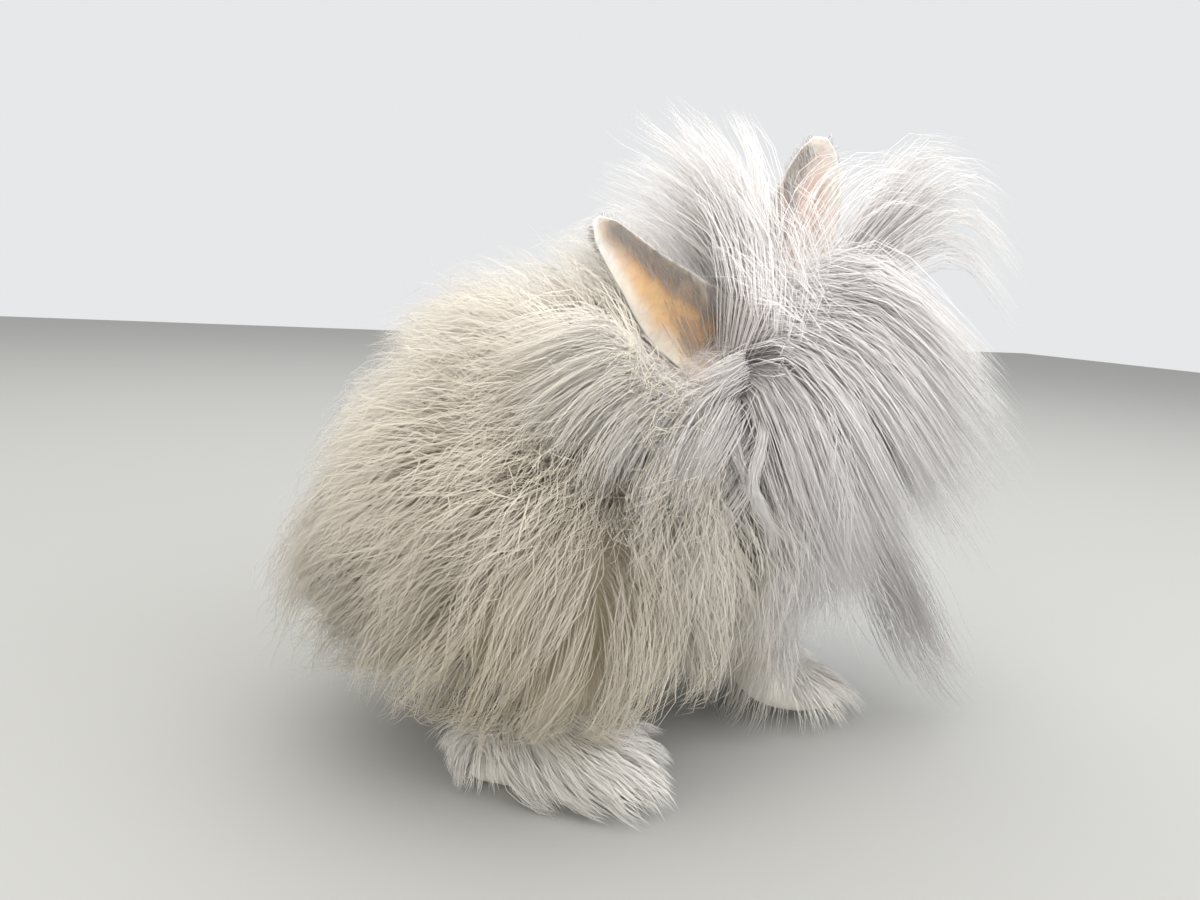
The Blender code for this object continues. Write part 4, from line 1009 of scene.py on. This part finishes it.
def meshTufts(name, curves, hairs, shades, steps, look):
    # three-sided tapered bodies round the curves, joined in as many pieces as the limit asks
    roots, normals, spots = hairs
    count, rings = curves.shape[:2]
    ahead = unit(np.gradient(curves, axis=1))
    side = unit(np.cross(ahead, np.broadcast_to(normals[:, None], ahead.shape)) + 1e-6)
    turn = dice.uniform(0, math.tau, (count, 1, 1))
    out = np.cross(side, ahead)
    side, out = side * np.cos(turn) + out * np.sin(turn), out * np.cos(turn) - side * np.sin(turn)
    profile = np.interp(steps, *coat["profile"].T)
    width = (look["width"] * dice.uniform(0.7, 1.3, count))[:, None, None] * profile[None, :, None] / 2
    side, out = side[:, :-1] * width[:, :-1], out[:, :-1] * width[:, :-1] * 0.6
    rims = [curves[:, :-1] + side * math.cos(a) + out * math.sin(a) for a in math.tau * np.arange(3) / 3]
    points = np.concatenate([np.stack(rims, 2).reshape(count, (rings - 1) * 3, 3), curves[:, -1:]], 1)
    # soft shading: a tuft's own normals lean towards those of the whole fleece round it
    centres = np.repeat(curves, [3] * (rings - 1) + [1], axis=1)
    fleece = unit(centres - (roots - normals * look["girth"])[:, None])
    own = unit(points - centres)
    own[:, -1] = ahead[:, -1]
    shading = unit(mix(own, fleece, look["soft"]))
    # each tuft is a little lighter or darker than the next
    shades = shades * (1 + look["uneven"] * dice.normal(size=(count, 1, 1)).clip(-2, 2))
    paint = np.concatenate([np.repeat(shades[:, :-1], 3, axis=1), shades[:, -1:]], 1)
    quads, tips, patch = tuftFaces(rings)
    perTuft = len(quads) * 2 + len(tips)
    pieces = math.ceil(count / (coat["pieceTriangles"] // perTuft))
    order = np.argsort(roots[:, 0] + 0.3 * roots[:, 1]) if pieces > 1 else np.arange(count)
    for number, chosen in enumerate(np.array_split(order, pieces)):
        shift = (np.arange(len(chosen)) * points.shape[1])[:, None, None]
        uv = spots[chosen][:, None] + patch[None]
        uvs = np.concatenate([uv[:, quads].reshape(-1, 2), uv[:, tips].reshape(-1, 2)])
        piece = meshPiece(name if pieces == 1 else f"{name}{number + 1}", points[chosen].reshape(-1, 3),
                          (quads[None] + shift).reshape(-1, 4), (tips[None] + shift).reshape(-1, 3),
                          paint[chosen].reshape(-1, 3), uvs, shading[chosen].reshape(-1, 3))
        finishPiece(piece, woolFinish, look["slot"])
    coat["triangles"] += count * perTuft
    print(name, count, "tufts", pieces, "pieces")


def growCoat(name, hairs, way, sizes, look):
    # one region's tufts, from the roots, normals and places of its hairs, the way they lie and their sizes
    look = plainLook | look
    roots, normals, place = hairs
    steps = np.linspace(0, 1, look["rings"]) ** 0.85
    curves = look["curves"](steps) if "curves" in look else tuftCurves(roots, normals, way, sizes, steps)
    for every, amount in look["locks"]:
        curves = gather(curves, every, amount, steps)
    curves = crimp(curves, steps, look)
    keep = curves[:, -1, 2] > coat["floor"]
    if not look["onEar"]:
        keep &= clearOfEars(curves)
    if "lift" in look:
        curves = drawnUp(curves, normals, look["lift"])
    if look["onBack"]:
        curves = insideBack(curves)
    curves = insideBox(curves)
    # painted shade along each tuft, darkest at the skin, for the shade deep in the fleece
    deep = np.interp(steps, *coat["paintedDepthShade"].T)
    shades = look["paint"](roots[:, None].repeat(len(steps), 1), np.broadcast_to(deep, curves.shape[:2]))
    curves[..., 2] = np.maximum(curves[..., 2], coat["floor"])
    spots = onMap(look.get("area") or bakeAreas[name], place)
    meshTufts(name, curves[keep], (roots[keep], normals[keep], spots[keep]), shades[keep], steps, look)


trunkLayers = {
    # short crimped down that fills the fleece, and the finer, longer fibres that end it
    "coatDown": {"count": 10200, "reach": (0.50, 0.90), "run": (0.032, 0.054), "width": 0.00095, "rings": 5,
                 "locks": [(140, 0.34)], "frizz": 0.0036, "wave": 0.0040},
    "coatBody": {"count": 15800, "reach": (0.70, 1.08), "run": (0.040, 0.064), "width": 0.00042, "rings": 6,
                 "locks": [(160, 0.24)], "frizz": 0.0032, "wave": 0.0042},
}


def trunkTufts(name, layer):
    # body wool: it lies backwards over the back, hangs down the flanks and the rump, and leaves the
    # shoulder at the near ear's root to the long hair of the head
    def uncovered(roots):
        return distance(roots, earMouth(ears["right"])) >= 0.047 + 0.006 * softNoise(roots, 0.02, 31)

    def density(points, normals):
        return np.where(normals[..., 2] < -0.75, 0.3, 1.0)

    hairs = skinRoots("trunk", layer["count"], density, where=uncovered)
    roots, normals = hairs[:2]
    count = len(roots)
    high, low = np.maximum(0, normals[:, 2]), np.maximum(0, -normals[:, 2])
    rear = np.maximum(0, -normals[:, 0])
    way = np.stack([-0.75 + 0.35 * low, 0.10 * normals[:, 1], np.full(count, -0.62)], -1)
    way = way + 0.30 * wander(roots, 0.050, 1)
    # on the chest it hangs straight down, in front of the forelegs
    chest = smoothStep(0.15, 0.60, normals[:, 0])[:, None]
    way = mix(way, vec(0.10, 0, -1) + 0.15 * normals * levelSide, chest)
    # beside the head the wool is shorter, so that the head stands free of the shoulder
    beside = smoothStep(0.030, 0.075, roots[:, 0]) * smoothStep(0.12, 0.16, roots[:, 2])
    wool = mix(trunk["sideWool"], trunk["backWool"], high) * (1 - 0.30 * beside)
    length = vary(count, *layer["reach"]) * (1 + 0.18 * softNoise(roots, 0.040, 8))
    sizes = {
        "rise": wool * (0.92 - 0.48 * low * (1 - rear)) * length, "bend": 0.92,
        "run": vary(count, *layer["run"]) * length, "curl": vary(count, -0.008, 0.006),
        "drop": 0.004 * length, "sweep": vary(count, -0.020, 0.020),
    }
    growCoat(name, hairs, way, sizes, {
        **layer, "lift": 0.062, "onBack": True, "girth": 0.065, "waves": 1.0, "soft": 0.97, "uneven": 0.02})


def legTufts(word, side):
    # wool of the haunch, which ends above the foot as the body's does
    hairs = skinRoots("thigh" + word, 1900,
                      lambda p, n: (n[..., 2] > -0.5) * (0.15 + 0.85 * (n[..., 1] * side > -0.2)))
    roots, normals = hairs[:2]
    way = vec(-0.45, 0, -0.85) + 0.15 * normals * levelSide + 0.25 * wander(roots, 0.04, 4)
    length = vary(len(roots), 0.7, 1.1)
    sizes = {"rise": 0.046 * length, "run": 0.052 * length, "curl": 0.008, "drop": 0.004 * length,
             "sweep": vary(len(roots), -0.010, 0.010)}
    growCoat("coatHaunch" + word, hairs, way, sizes, {
        "width": 0.0005, "rings": 6, "locks": [(80, 0.50)], "frizz": 0.0020, "wave": 0.0030, "soft": 0.94,
        "uneven": 0.02, "slot": "leg_wool", "lift": 0.060})


def aboveSole(roots):
    return roots[:, 2] > 0.006


def footTufts(word, side):
    # long pale hair that splays outwards from the ankle and over the toes
    def density(points, normals):
        atRear = 1 + 1.5 * (points[..., 0] < -0.055)
        return atRear * (normals[..., 2] > -0.6) * (points[..., 2] < 0.052)

    sets = []
    for part, count in (("shank" + word, 1300), ("foot" + word, 3900)):
        roots, normals, place = skinRoots(part, count, density, where=aboveSole)
        sets.append((roots, normals, onMap(bakeAreas[part], place)))
    hairs = [np.vstack(group) for group in zip(*sets)]
    roots, normals = hairs[:2]
    out = unit((roots - vec(-0.022, side * 0.058, 0)) * vec(1, 1, 0))
    atHeel = smoothStep(-0.048, -0.060, roots[:, 0])[:, None]
    way = 0.55 * out + 0.75 * toeDirection(side) + vec(0, side * 0.15, -0.40)
    way = mix(way, 0.25 * out + downWay, atHeel) + 0.30 * wander(roots, 0.02, 13)
    toes = smoothStep(0.008, 0.030, roots[:, 0])
    length = vary(len(roots), 0.65, 1.1) * (1 - 0.58 * atHeel[:, 0])
    sizes = {"rise": mix(0.015, 0.0060, toes) * length, "run": mix(0.028, 0.013, toes) * length,
             "curl": 0.001, "drop": 0.004 * length, "sweep": vary(len(roots), -0.006, 0.006)}
    growCoat("coatFoot" + word, hairs, way, sizes, {
        "width": 0.0006, "rings": 5, "locks": [(45, 0.40), (9, 0.25)], "frizz": 0.0009, "slot": "foot_wool",
        "girth": 0.02, "fullSize": 0.03, "soft": 0.90, "uneven": 0.03, "area": (0, 0, 1, 1)})


def forelegTufts(word, side):
    # hair of the foreleg, which turns forwards over the paw
    def density(points, normals):
        return (normals[..., 2] > -0.6) * (0.6 + 1.2 * (points[..., 0] > 0.125))

    hairs = skinRoots("foreleg" + word, 2300, density, where=aboveSole)
    roots, normals = hairs[:2]
    paw = np.clip((roots[:, 0] - 0.105) / 0.05, 0, 1)
    way = np.stack([-0.35 + 1.3 * paw, 0.3 * normals[:, 1], np.full(len(roots), -0.75)], -1)
    length = vary(len(roots), 0.7, 1.1)
    sizes = {"rise": (0.018 - 0.009 * paw) * length, "run": (0.034 - 0.008 * paw) * length, "curl": 0.001,
             "drop": 0.005 * length, "sweep": vary(len(roots), -0.005, 0.005)}
    growCoat("coatForeleg" + word, hairs, way, sizes, {
        "width": 0.0005, "rings": 5, "locks": [(50, 0.35), (9, 0.30)], "frizz": 0.0009, "slot": "foot_wool",
        "girth": 0.02, "fullSize": 0.03})


def neckTufts():
    # the ruff, swept back over the shoulders and down in front of the chest, and tufts up the nape
    hairs = skinRoots("neck", 6200, None, (0.12, 0.95))
    roots, normals = hairs[:2]
    count = len(roots)
    front, high = np.maximum(0, normals[:, 0]), np.maximum(0, normals[:, 2])
    nape = smoothStep(0.192, 0.212, roots[:, 2]) * smoothStep(0.1, 0.5, normals[:, 2])
    ruffWay = np.stack([-0.85 + front, 0.15 * normals[:, 1], -0.45 - 0.5 * front], -1)
    napeWay = vec(-0.45, 0, 0.60) + 0.2 * normals * levelSide
    way = mix(ruffWay, napeWay, nape[:, None]) + 0.30 * wander(roots, 0.04, 7)
    length = vary(count, 0.70, 1.10)
    sizes = {
        "rise": mix(0.052 + 0.012 * high, 0.082, nape) * length, "run": mix(0.078, 0.062, nape) * length,
        "curl": mix(0.006, 0.0, nape), "drop": mix(0.016, 0.0, nape), "sweep": vary(count, -0.022, 0.022),
    }
    growCoat("coatRuff", hairs, way, sizes, {
        "width": 0.0005, "rings": 5, "locks": [(150, 0.45), (24, 0.20)], "frizz": 0.0012, "wave": 0.0028,
        "waves": 1.0, "soft": 0.92, "uneven": 0.03, "slot": "face_wool"})


def headTufts():
    # forelock fanned over the face, tufts up from the crown, cheeks and beard falling
    def hairy(roots):
        ahead = dot(roots - head["crown"], faceWay)
        return (ahead < 0.066) & awayFromEyes(roots, 0.005) & (segmentDistance(roots, *partingLine) > 0.010)

    hairs = skinRoots("skull", 12200, None, (0.03, 0.80), 0.004, hairy)
    roots, normals = hairs[:2]
    count = len(roots)
    ahead = dot(roots - head["crown"], faceWay)
    spread = dot(roots - head["crown"], leftWay) / head["halfWidth"]
    high = dot(normals, topWay)
    fan = vary(count, -0.75, 0.35) + 0.35 * spread
    up = np.stack([fan, np.full(count, -0.10), np.full(count, 0.95)], -1)
    fore = faceWay * 0.75 + leftWay * (0.1 + spread * 1.25)[:, None] + vec(0.10, 0, 0.12)
    cheek = downWay * 0.70 + faceWay * 0.60
    beard = downWay * 0.45 + faceWay * 0.60 + vec(0.50, -0.25, 0)
    asUp = np.maximum(smoothStep(-0.2, 0.1, high), smoothStep(0.1, 0.3, spread))
    asUp = smoothStep(0.010, 0.0, ahead) * asUp
    asFore = np.maximum(smoothStep(-0.15, 0.15, high), smoothStep(0.2, 0.5, spread)) * (1 - asUp)
    rest = (1 - asUp) * (1 - asFore)
    asCheek = rest * smoothStep(0.0, -0.35, spread)
    weights = np.stack([asUp, asFore, asCheek, rest - asCheek], -1)

    def blended(*values):
        return weights @ np.array(values)

    way = sum(value * weights[:, k, None] for k, value in enumerate((up, fore, cheek, beard)))
    way = way + 0.22 * wander(roots, 0.03, 10)
    # under the forelock's fan the hair of the near side is shorter
    nearSide = (1 - asUp) * smoothStep(0.4, -0.2, spread)
    length = vary(count, 0.62, 1.10) * (1 - 0.55 * smoothStep(0.045, 0.066, ahead)) * (1 - 0.35 * nearSide)
    sizes = {
        "rise": blended(0.058, 0.048, 0.030, 0.030) * length,
        "run": blended(0.104, 0.140, 0.105, 0.125) * length,
        "curl": blended(0, 0.010, 0.006, 0), "drop": blended(0, 0.036, 0.034, 0.050) * length,
        "sweep": vary(count, -0.016, 0.016),
    }
    growCoat("coatHead", hairs, way, sizes, {
        "width": 0.00050, "rings": 5, "locks": [(160, 0.34), (22, 0.32)], "frizz": 0.0005, "wave": 0.0016,
        "waves": 0.8, "soft": 0.92, "uneven": 0.03, "girth": 0.030, "slot": "face_wool"})


# fans of combed hair. Each row is a guide hair in millimetres: the point nearest to its root, two that it
# passes and its tip. The tufts of a fan lie between its guides, spread metres either side of them.
hairFans = {
    # from the parting at the near ear's root, over the face and down past the shoulder
    "forelock": {"count": 3900, "spread": 0.0080, "dark": 0.8, "depth": 0.040, "guides": [
        [(112, -24, 260), (130, -52, 266), (176, -60, 249), (240, -50, 214)],
        [(106, -26, 254), (130, -60, 253), (189, -66, 221), (262, -56, 167)],
        [(101, -28, 246), (123, -66, 234), (176, -74, 193), (251, -62, 124)],
        [(96, -30, 238), (111, -70, 217), (152, -80, 170), (216, -70, 94)],
        [(94, -31, 231), (98, -74, 202), (125, -86, 156), (179, -78, 84)],
        [(92, -31, 226), (87, -76, 192), (103, -90, 148), (145, -84, 83)],
        [(90, -31, 219), (76, -76, 185), (84, -92, 145), (123, -88, 94)],
    ]},
    # arcs over the far side of the head, beside the far ear
    "arcs": {"count": 560, "spread": 0.0085, "shortest": 0.4, "tone": 0.97, "guides": [
        [(156, -12, 268), (164, -20, 302), (192, -15, 332), (238, -8, 337)],
        [(160, -12, 265), (175, -22, 300), (211, -18, 322), (260, -10, 310)],
        [(162, -15, 261), (180, -30, 289), (220, -28, 300), (272, -18, 270)],
        [(163, -18, 256), (183, -38, 273), (223, -38, 270), (282, -26, 226)],
    ]},
    # a few stray arcs across the far ear's root
    "strays": {"count": 80, "spread": 0.0070, "shortest": 0.5, "crossing": True, "guides": [
        [(121, -18, 268), (112, -34, 297), (130, -36, 319), (165, -30, 327)],
        [(128, -18, 266), (133, -36, 296), (165, -34, 317), (213, -22, 311)],
        [(133, -20, 261), (144, -44, 282), (182, -44, 290), (239, -32, 268)],
    ]},
    # tufts that stand up between the ears
    "nape": {"count": 1250, "spread": 0.0090, "shortest": 0.24, "dark": 0.5, "tone": 0.93, "guides": [
        [(98, -12, 234), (62, -24, 262), (32, -30, 277), (2, -30, 284)],
        [(100, -12, 240), (65, -26, 275), (35, -32, 296), (9, -30, 305)],
        [(103, -12, 244), (70, -28, 284), (44, -32, 311), (23, -28, 327)],
        [(106, -12, 248), (80, -28, 290), (62, -30, 317), (46, -24, 336)],
        [(109, -12, 251), (92, -26, 292), (81, -26, 320), (70, -20, 340)],
        [(113, -12, 253), (105, -24, 291), (103, -22, 317), (102, -18, 339)],
    ]},
    # pale curls of the ruff, swept back from the near ear over the shoulder
    "shoulder": {"count": 2400, "spread": 0.0080, "shortest": 0.45, "pale": 0.4, "dark": 0.5, "guides": [
        [(24, -45, 220), (-4, -66, 225), (-34, -82, 225), (-63, -89, 217)],
        [(32, -45, 211), (-2, -76, 217), (-33, -92, 214), (-65, -101, 202)],
        [(43, -43, 205), (1, -83, 210), (-31, -101, 202), (-56, -111, 184)],
        [(53, -40, 200), (7, -88, 203), (-23, -107, 192), (-40, -116, 169)],
        [(63, -38, 196), (18, -92, 198), (-9, -111, 184), (-20, -119, 160)],
        [(73, -36, 193), (31, -96, 191), (11, -114, 175), (3, -121, 149)],
        [(81, -34, 190), (43, -99, 186), (29, -116, 168), (27, -122, 140)],
    ]},
    # loose hair over the near ear's mouth
    "mouthHair": {"count": 230, "spread": 0.0040, "shortest": 0.45, "pale": 0.5, "crossing": True, "guides": [
        [(91, -34, 220), (74, -52, 216), (58, -58, 211), (41, -62, 207)],
        [(91, -34, 215), (74, -54, 209), (61, -60, 203), (46, -64, 196)],
        [(91, -34, 210), (75, -56, 203), (66, -62, 194), (56, -67, 186)],
    ]},
    # two curled strands that fall from the root of the near ear
    "curlHigh": {"count": 90, "spread": 0.0016, "pale": 1.0, "shortest": 0.8, "guides": [
        [(85, -34, 193), (57, -88, 176), (58, -112, 158), (66, -118, 134)],
        [(86, -34, 193), (59, -88, 176), (60, -112, 158), (68, -118, 134)],
    ]},
    "curlLow": {"count": 90, "spread": 0.0016, "pale": 1.0, "shortest": 0.8, "guides": [
        [(89, -34, 194), (73, -86, 180), (54, -112, 163), (77, -116, 136)],
        [(90, -34, 194), (75, -86, 180), (56, -112, 163), (79, -116, 136)],
    ]},
    # the tip of the beard
    "beard": {"count": 420, "spread": 0.0120, "shortest": 0.30, "guides": [
        [(178, -40, 125), (193, -58, 88), (220, -60, 54), (267, -52, 19)],
        [(174, -40, 125), (183, -58, 86), (204, -60, 49), (242, -54, 12)],
        [(171, -40, 125), (177, -58, 83), (190, -60, 47), (220, -55, 8)],
    ]},
}
# what a fan is where its own row doesn't say: the shortest tuft's share of its guides, how far the fan
# goes in towards the body, how pale it is, the painted shade at its roots, its tone, and whether it may cross
# an ear
plainFan = {"shortest": 0.66, "depth": 0.0, "pale": 0.0, "dark": 0.0, "tone": 1.0, "crossing": False}
inwardWay = vec(0.30, 0.95, 0)  # the viewer's way, level


def fanTufts(name, fan, number):
    # each tuft takes its four points from the guides on either side of it, starts at the skin nearest
    # to the first, and varies in length
    fan = plainFan | fan
    guides, count = np.array(fan["guides"]) / 1000, howMany(fan["count"])
    spot = dice.uniform(0, 1, count)
    paths = np.stack([pathPoint(guides[:, k], spot) for k in range(4)], 1)
    inward = inwardWay * fan["depth"] * dice.uniform(0, 1, (count, 1)) ** 1.5
    paths[:, 1:] += inward[:, None] * vec(0.5, 1, 1)[None, :, None]
    offset = dice.normal(size=(count, 3)) * fan["spread"]
    found = [skinTree.find_nearest(Vector(start))[:2] for start in paths[:, 0] + offset + modelShift]
    roots = np.array([place for place, normal in found]) - modelShift
    normals = np.array([normal for place, normal in found])
    length = vary(count, fan["shortest"], 1.04)[:, None, None]

    def curves(steps):
        # the cubic that starts at the root, passes the two middle points and ends at the tip, with the
        # tuft's own offset fading towards its tip
        t = steps[None, :, None] * length
        weights = [(1 - 3 * t) * (1 - 1.5 * t) * (1 - t), 9 * t * (1 - 1.5 * t) * (1 - t),
                   -4.5 * t * (1 - 3 * t) * (1 - t), t * (1 - 3 * t) * (1 - 1.5 * t)]
        points = [roots[:, None]] + [paths[:, None, k] for k in (1, 2, 3)]
        drift = offset[:, None] * np.sin(np.pi * np.minimum(t, 0.5)) * (1 - 0.35 * t)
        return sum(p * w for p, w in zip(points, weights)) + drift

    def paint(points, deep):
        tone = mix(coatColour(points, deep), palette["earRim"], 0.75 * fan["pale"]) * fan["tone"]
        # painted shade at the roots, for the shade in the fan's parting
        return mix(tone, palette["parting"], fan["dark"] * smoothStep(0.62, 1.0, deep)[..., None])

    corner = 0.62 + 0.021 * number
    place = np.stack([spot, dice.uniform(0, 1, count)], -1)
    growCoat("coat" + name[0].upper() + name[1:], (roots, normals, place), None, None, {
        "width": 0.00045, "rings": 6, "locks": [(40, 0.40)], "frizz": 0.0005, "wave": 0.0014, "soft": 0.92,
        "uneven": 0.03, "slot": "face_wool", "girth": 0.03, "curves": curves, "paint": paint,
        "area": (corner, 0.62, corner + 0.018, 0.65), "onEar": fan["crossing"]})


def faceTufts():
    # the short, close hair of the nose bridge and the muzzle
    def hairy(roots):
        return (dot(roots - head["crown"], faceWay) > 0.035) & awayFromEyes(roots, 0.002)

    hairs = skinRoots("skull", 3800, None, (0.52, 0.97), 0.0045, hairy)
    roots = hairs[0]
    ahead = dot(roots - head["crown"], faceWay)
    length = vary(len(roots), 0.7, 1.1) * (1.1 - 0.6 * smoothStep(0.05, 0.09, ahead))
    sizes = {"rise": 0.0035 * length, "run": 0.0085 * length, "curl": 0.001, "drop": 0.0,
             "sweep": vary(len(roots), -0.0012, 0.0012)}
    growCoat("coatFace", hairs, -faceWay * 0.9 + downWay * 0.4, sizes, {
        "width": 0.0007, "rings": 4, "locks": [(8, 0.30)], "frizz": 0.0002, "fullSize": 0.008,
        "slot": "face_wool"})


def tailTufts():
    # the tail's tuft, which turns up against the rump
    hairs = skinRoots("tail", 1600)
    roots, normals = hairs[:2]
    way = vec(-0.30, 0, 0.40) + 0.3 * normals * levelSide
    length = vary(len(roots), 0.7, 1.1)
    sizes = {"rise": 0.020 * length, "run": 0.026 * length, "curl": 0.004, "drop": 0.0,
             "sweep": vary(len(roots), -0.010, 0.010)}
    growCoat("coatTail", hairs, way, sizes, {
        "width": 0.0007, "rings": 5, "locks": [(60, 0.40), (12, 0.40)], "frizz": 0.0009})


def earTufts(word, which):
    # down on the back of the ear, a short pale fringe round its rim and tip, and hair on the band inside
    # its upper edge, which lies towards the root
    count = howMany(2500)
    kind = dice.uniform(0, 1, count)
    back, fringe, band = kind < 0.30, (kind >= 0.30) & (kind < 0.60), kind >= 0.60
    t = np.where(band, dice.uniform(0.10, 0.97, count), dice.uniform(0.04, 0.94, count) ** 0.8)
    t = np.where(fringe, dice.uniform(0.10, 1.0, count), t)
    across = np.where(back, dice.uniform(-0.75, 0.75, count),
                      np.where(fringe, np.sign(dice.uniform(-1, 1, count)) * dice.uniform(0.92, 1, count),
                               -which["side"] * (1 - 0.70 * dice.uniform(0, 1, count) ** 1.2)))
    layer = np.where(band, -1.0, np.where(fringe, 0.0, 1.0))
    roots = earSurface(which, t, across, layer)
    axis, opening, wide = earFrame(which)[2:]
    outward = wide * np.sign(across)[:, None]
    faced = unit(roots - earSurface(which, t, across, layer * 0.5 - 0.5 * (layer == 0)))
    normals = np.where(fringe[:, None], unit(outward * 0.6 + opening * 0.8), faced)
    splay = np.where(fringe, 0.8, 0.0)[:, None]
    way = np.where(band[:, None], -axis * 0.9 - outward * 0.45, axis + outward * splay)
    way = way + 0.25 * dice.normal(size=(count, 3))
    length = vary(count, 0.5, 1.15)
    sizes = {"rise": np.where(band, 0.0020, np.where(fringe, 0.0006, 0.0016)) * length,
             "run": np.where(band, 0.0100, np.where(fringe, 0.0042, 0.0060)) * length,
             "curl": 0.0003 * length, "drop": 0.0, "sweep": vary(count, -0.0015, 0.0015)}
    place = np.stack([t, (across + 1) / 2 * 0.48 + 0.5 * (layer < 0)], -1)

    def paint(points, deep):
        tipShare = smoothStep(0.70, 1.0, t)
        light = np.clip(0.45 * dice.uniform(0, 1, count) + 0.5 * tipShare, 0, 1)[:, None, None]
        banded = mix(palette["earBand"], palette["earRim"], light)
        hair = np.where(band[:, None, None], banded, palette["earRim"])
        # painted shade towards the roots of the ear's hair
        return hair * (1 - 0.12 * deep[..., None])

    growCoat("coatEar" + word.capitalize(), (roots, normals, place), way, sizes, {
        "width": 0.00045, "rings": 4, "locks": [(10, 0.30)], "frizz": 0.0003, "fullSize": 0.008,
        "slot": "ear_skin", "paint": paint, "soft": 0.85, "uneven": 0.08, "onEar": True})


def earRootTufts(word, which):
    # short hair over the skin where the inside of the ear ends, combed down from it
    mouth, reach = earMouth(which), 0.027
    sets = [skinRoots(part, 420, lambda p, n: 1.0 * (distance(p, mouth) < reach), reach=0.005)
            for part in ("skull", "neck")]
    hairs = [np.vstack(group) for group in zip(*sets)]
    roots = hairs[0]
    count = len(roots)
    far = distance(roots, mouth) / reach
    way = -earFrame(which)[2] * 0.6 + downWay * 0.5 + 0.35 * dice.normal(size=(count, 3))
    length = vary(count, 0.6, 1.2) * (0.7 + 1.0 * far)
    sizes = {"rise": 0.0050 * length, "run": 0.017 * length, "curl": 0.001, "drop": 0.004,
             "sweep": vary(count, -0.005, 0.005)}
    # the ear's inside colour with a trace of painted shade
    warm = mix(palette[which["inside"]], palette["earDark"], 0.06)

    def paint(points, deep):
        paler = smoothStep(0.10, 0.60, far)[:, None, None]
        # painted shade towards the roots
        return mix(warm, palette["head"], paler) * (1 - 0.10 * deep[..., None])

    growCoat("coatEarRoot" + word.capitalize(), hairs, way, sizes, {
        "width": 0.0005, "rings": 4, "locks": [(14, 0.40)], "frizz": 0.0004, "fullSize": 0.012,
        "slot": "face_wool", "paint": paint, "soft": 0.85, "onEar": True})


for name, layer in trunkLayers.items():
    trunkTufts(name, layer)
for word, which in ears.items():
    earTufts(word, which)
    earRootTufts(word, which)
for word, side in sides:
    legTufts(word, side)
    footTufts(word, side)
    forelegTufts(word, side)
neckTufts()
headTufts()
for number, (name, fan) in enumerate(hairFans.items()):
    fanTufts(name, fan, number)
faceTufts()
tailTufts()
print("coat", coat["triangles"], "triangles")


# floor, light and camera

stage = {
    "floorHalf": 4.0, "floorColour": "#A8A8A5", "sky": "#F2F3F4", "skyStrength": 0.90,
    # place, aim, size, power and colour of each light
    "lights": {
        "keyLight": ((-0.9, -1.3, 1.9), (0.0, 0.0, 0.12), 3.0, 42, "#FFFAF2"),
        "fillLight": ((1.4, -1.5, 1.5), (0.0, 0.0, 0.12), 2.4, 38, "#F8FAFF"),
        "topLight": ((0.1, 0.6, 2.2), (0.0, 0.0, 0.15), 3.0, 32, "#FFFFFF"),
    },
    # the photo's view, worked out from the walls round the animal, at 26.4 mm on a 36 mm sensor
    "viewPlace": vec(-0.127, -0.455, 0.245), "viewForward": (0.304, 0.936, -0.178),
    "viewUp": (0.004, 0.185, 0.983), "lens": 26.4, "sensor": 36,
}


def addObject(name, data, matrix):
    holder = bpy.data.objects.new(name, data)
    holder.matrix_world = matrix
    bpy.context.scene.collection.objects.link(holder)
    return holder


def buildFloor():
    half = stage["floorHalf"]
    corners = np.array([(-half, -half, 0), (half, -half, 0), (half, half, 0), (-half, half, 0)]) - modelShift
    piece = meshPiece("floor", corners, np.array([[0, 1, 2, 3]]))
    # plain matt paper
    piece.data.materials.append(newMaterial("matPaper", {
        "Roughness": 0.95, "Specular IOR Level": 0.1,
        "Base Color": (*linearColour(stage["floorColour"]), 1)})[0])


def buildLights():
    for name, (place, aim, size, power, colour) in stage["lights"].items():
        lamp = bpy.data.lights.new(name, "AREA")
        lamp.shape = "DISK"
        lamp.size = size
        lamp.energy = power
        lamp.color = linearColour(colour)
        turn = (Vector(aim) - Vector(place)).to_track_quat("-Z", "Y").to_matrix().to_4x4()
        addObject(name, lamp, Matrix.Translation(Vector(place)) @ turn)
    world = bpy.data.worlds.new("studio")
    world.use_nodes = True
    sky = world.node_tree.nodes["Background"]
    sky.inputs["Color"].default_value = (*linearColour(stage["sky"]), 1)
    sky.inputs["Strength"].default_value = stage["skyStrength"]
    bpy.context.scene.world = world


def buildCamera():
    lens = bpy.data.cameras.new("camera")
    lens.lens = stage["lens"]
    lens.sensor_width = stage["sensor"]
    lens.clip_start = 0.01
    forward = Vector(stage["viewForward"]).normalized()
    right = forward.cross(Vector(stage["viewUp"])).normalized()
    turn = Matrix((right, right.cross(forward), -forward)).transposed().to_4x4()
    place = Matrix.Translation(Vector(stage["viewPlace"] + modelShift))
    bpy.context.scene.camera = addObject("camera", lens, place @ turn)


buildFloor()
buildLights()
bpy.context.scene.view_settings.view_transform = "Standard"
buildCamera()
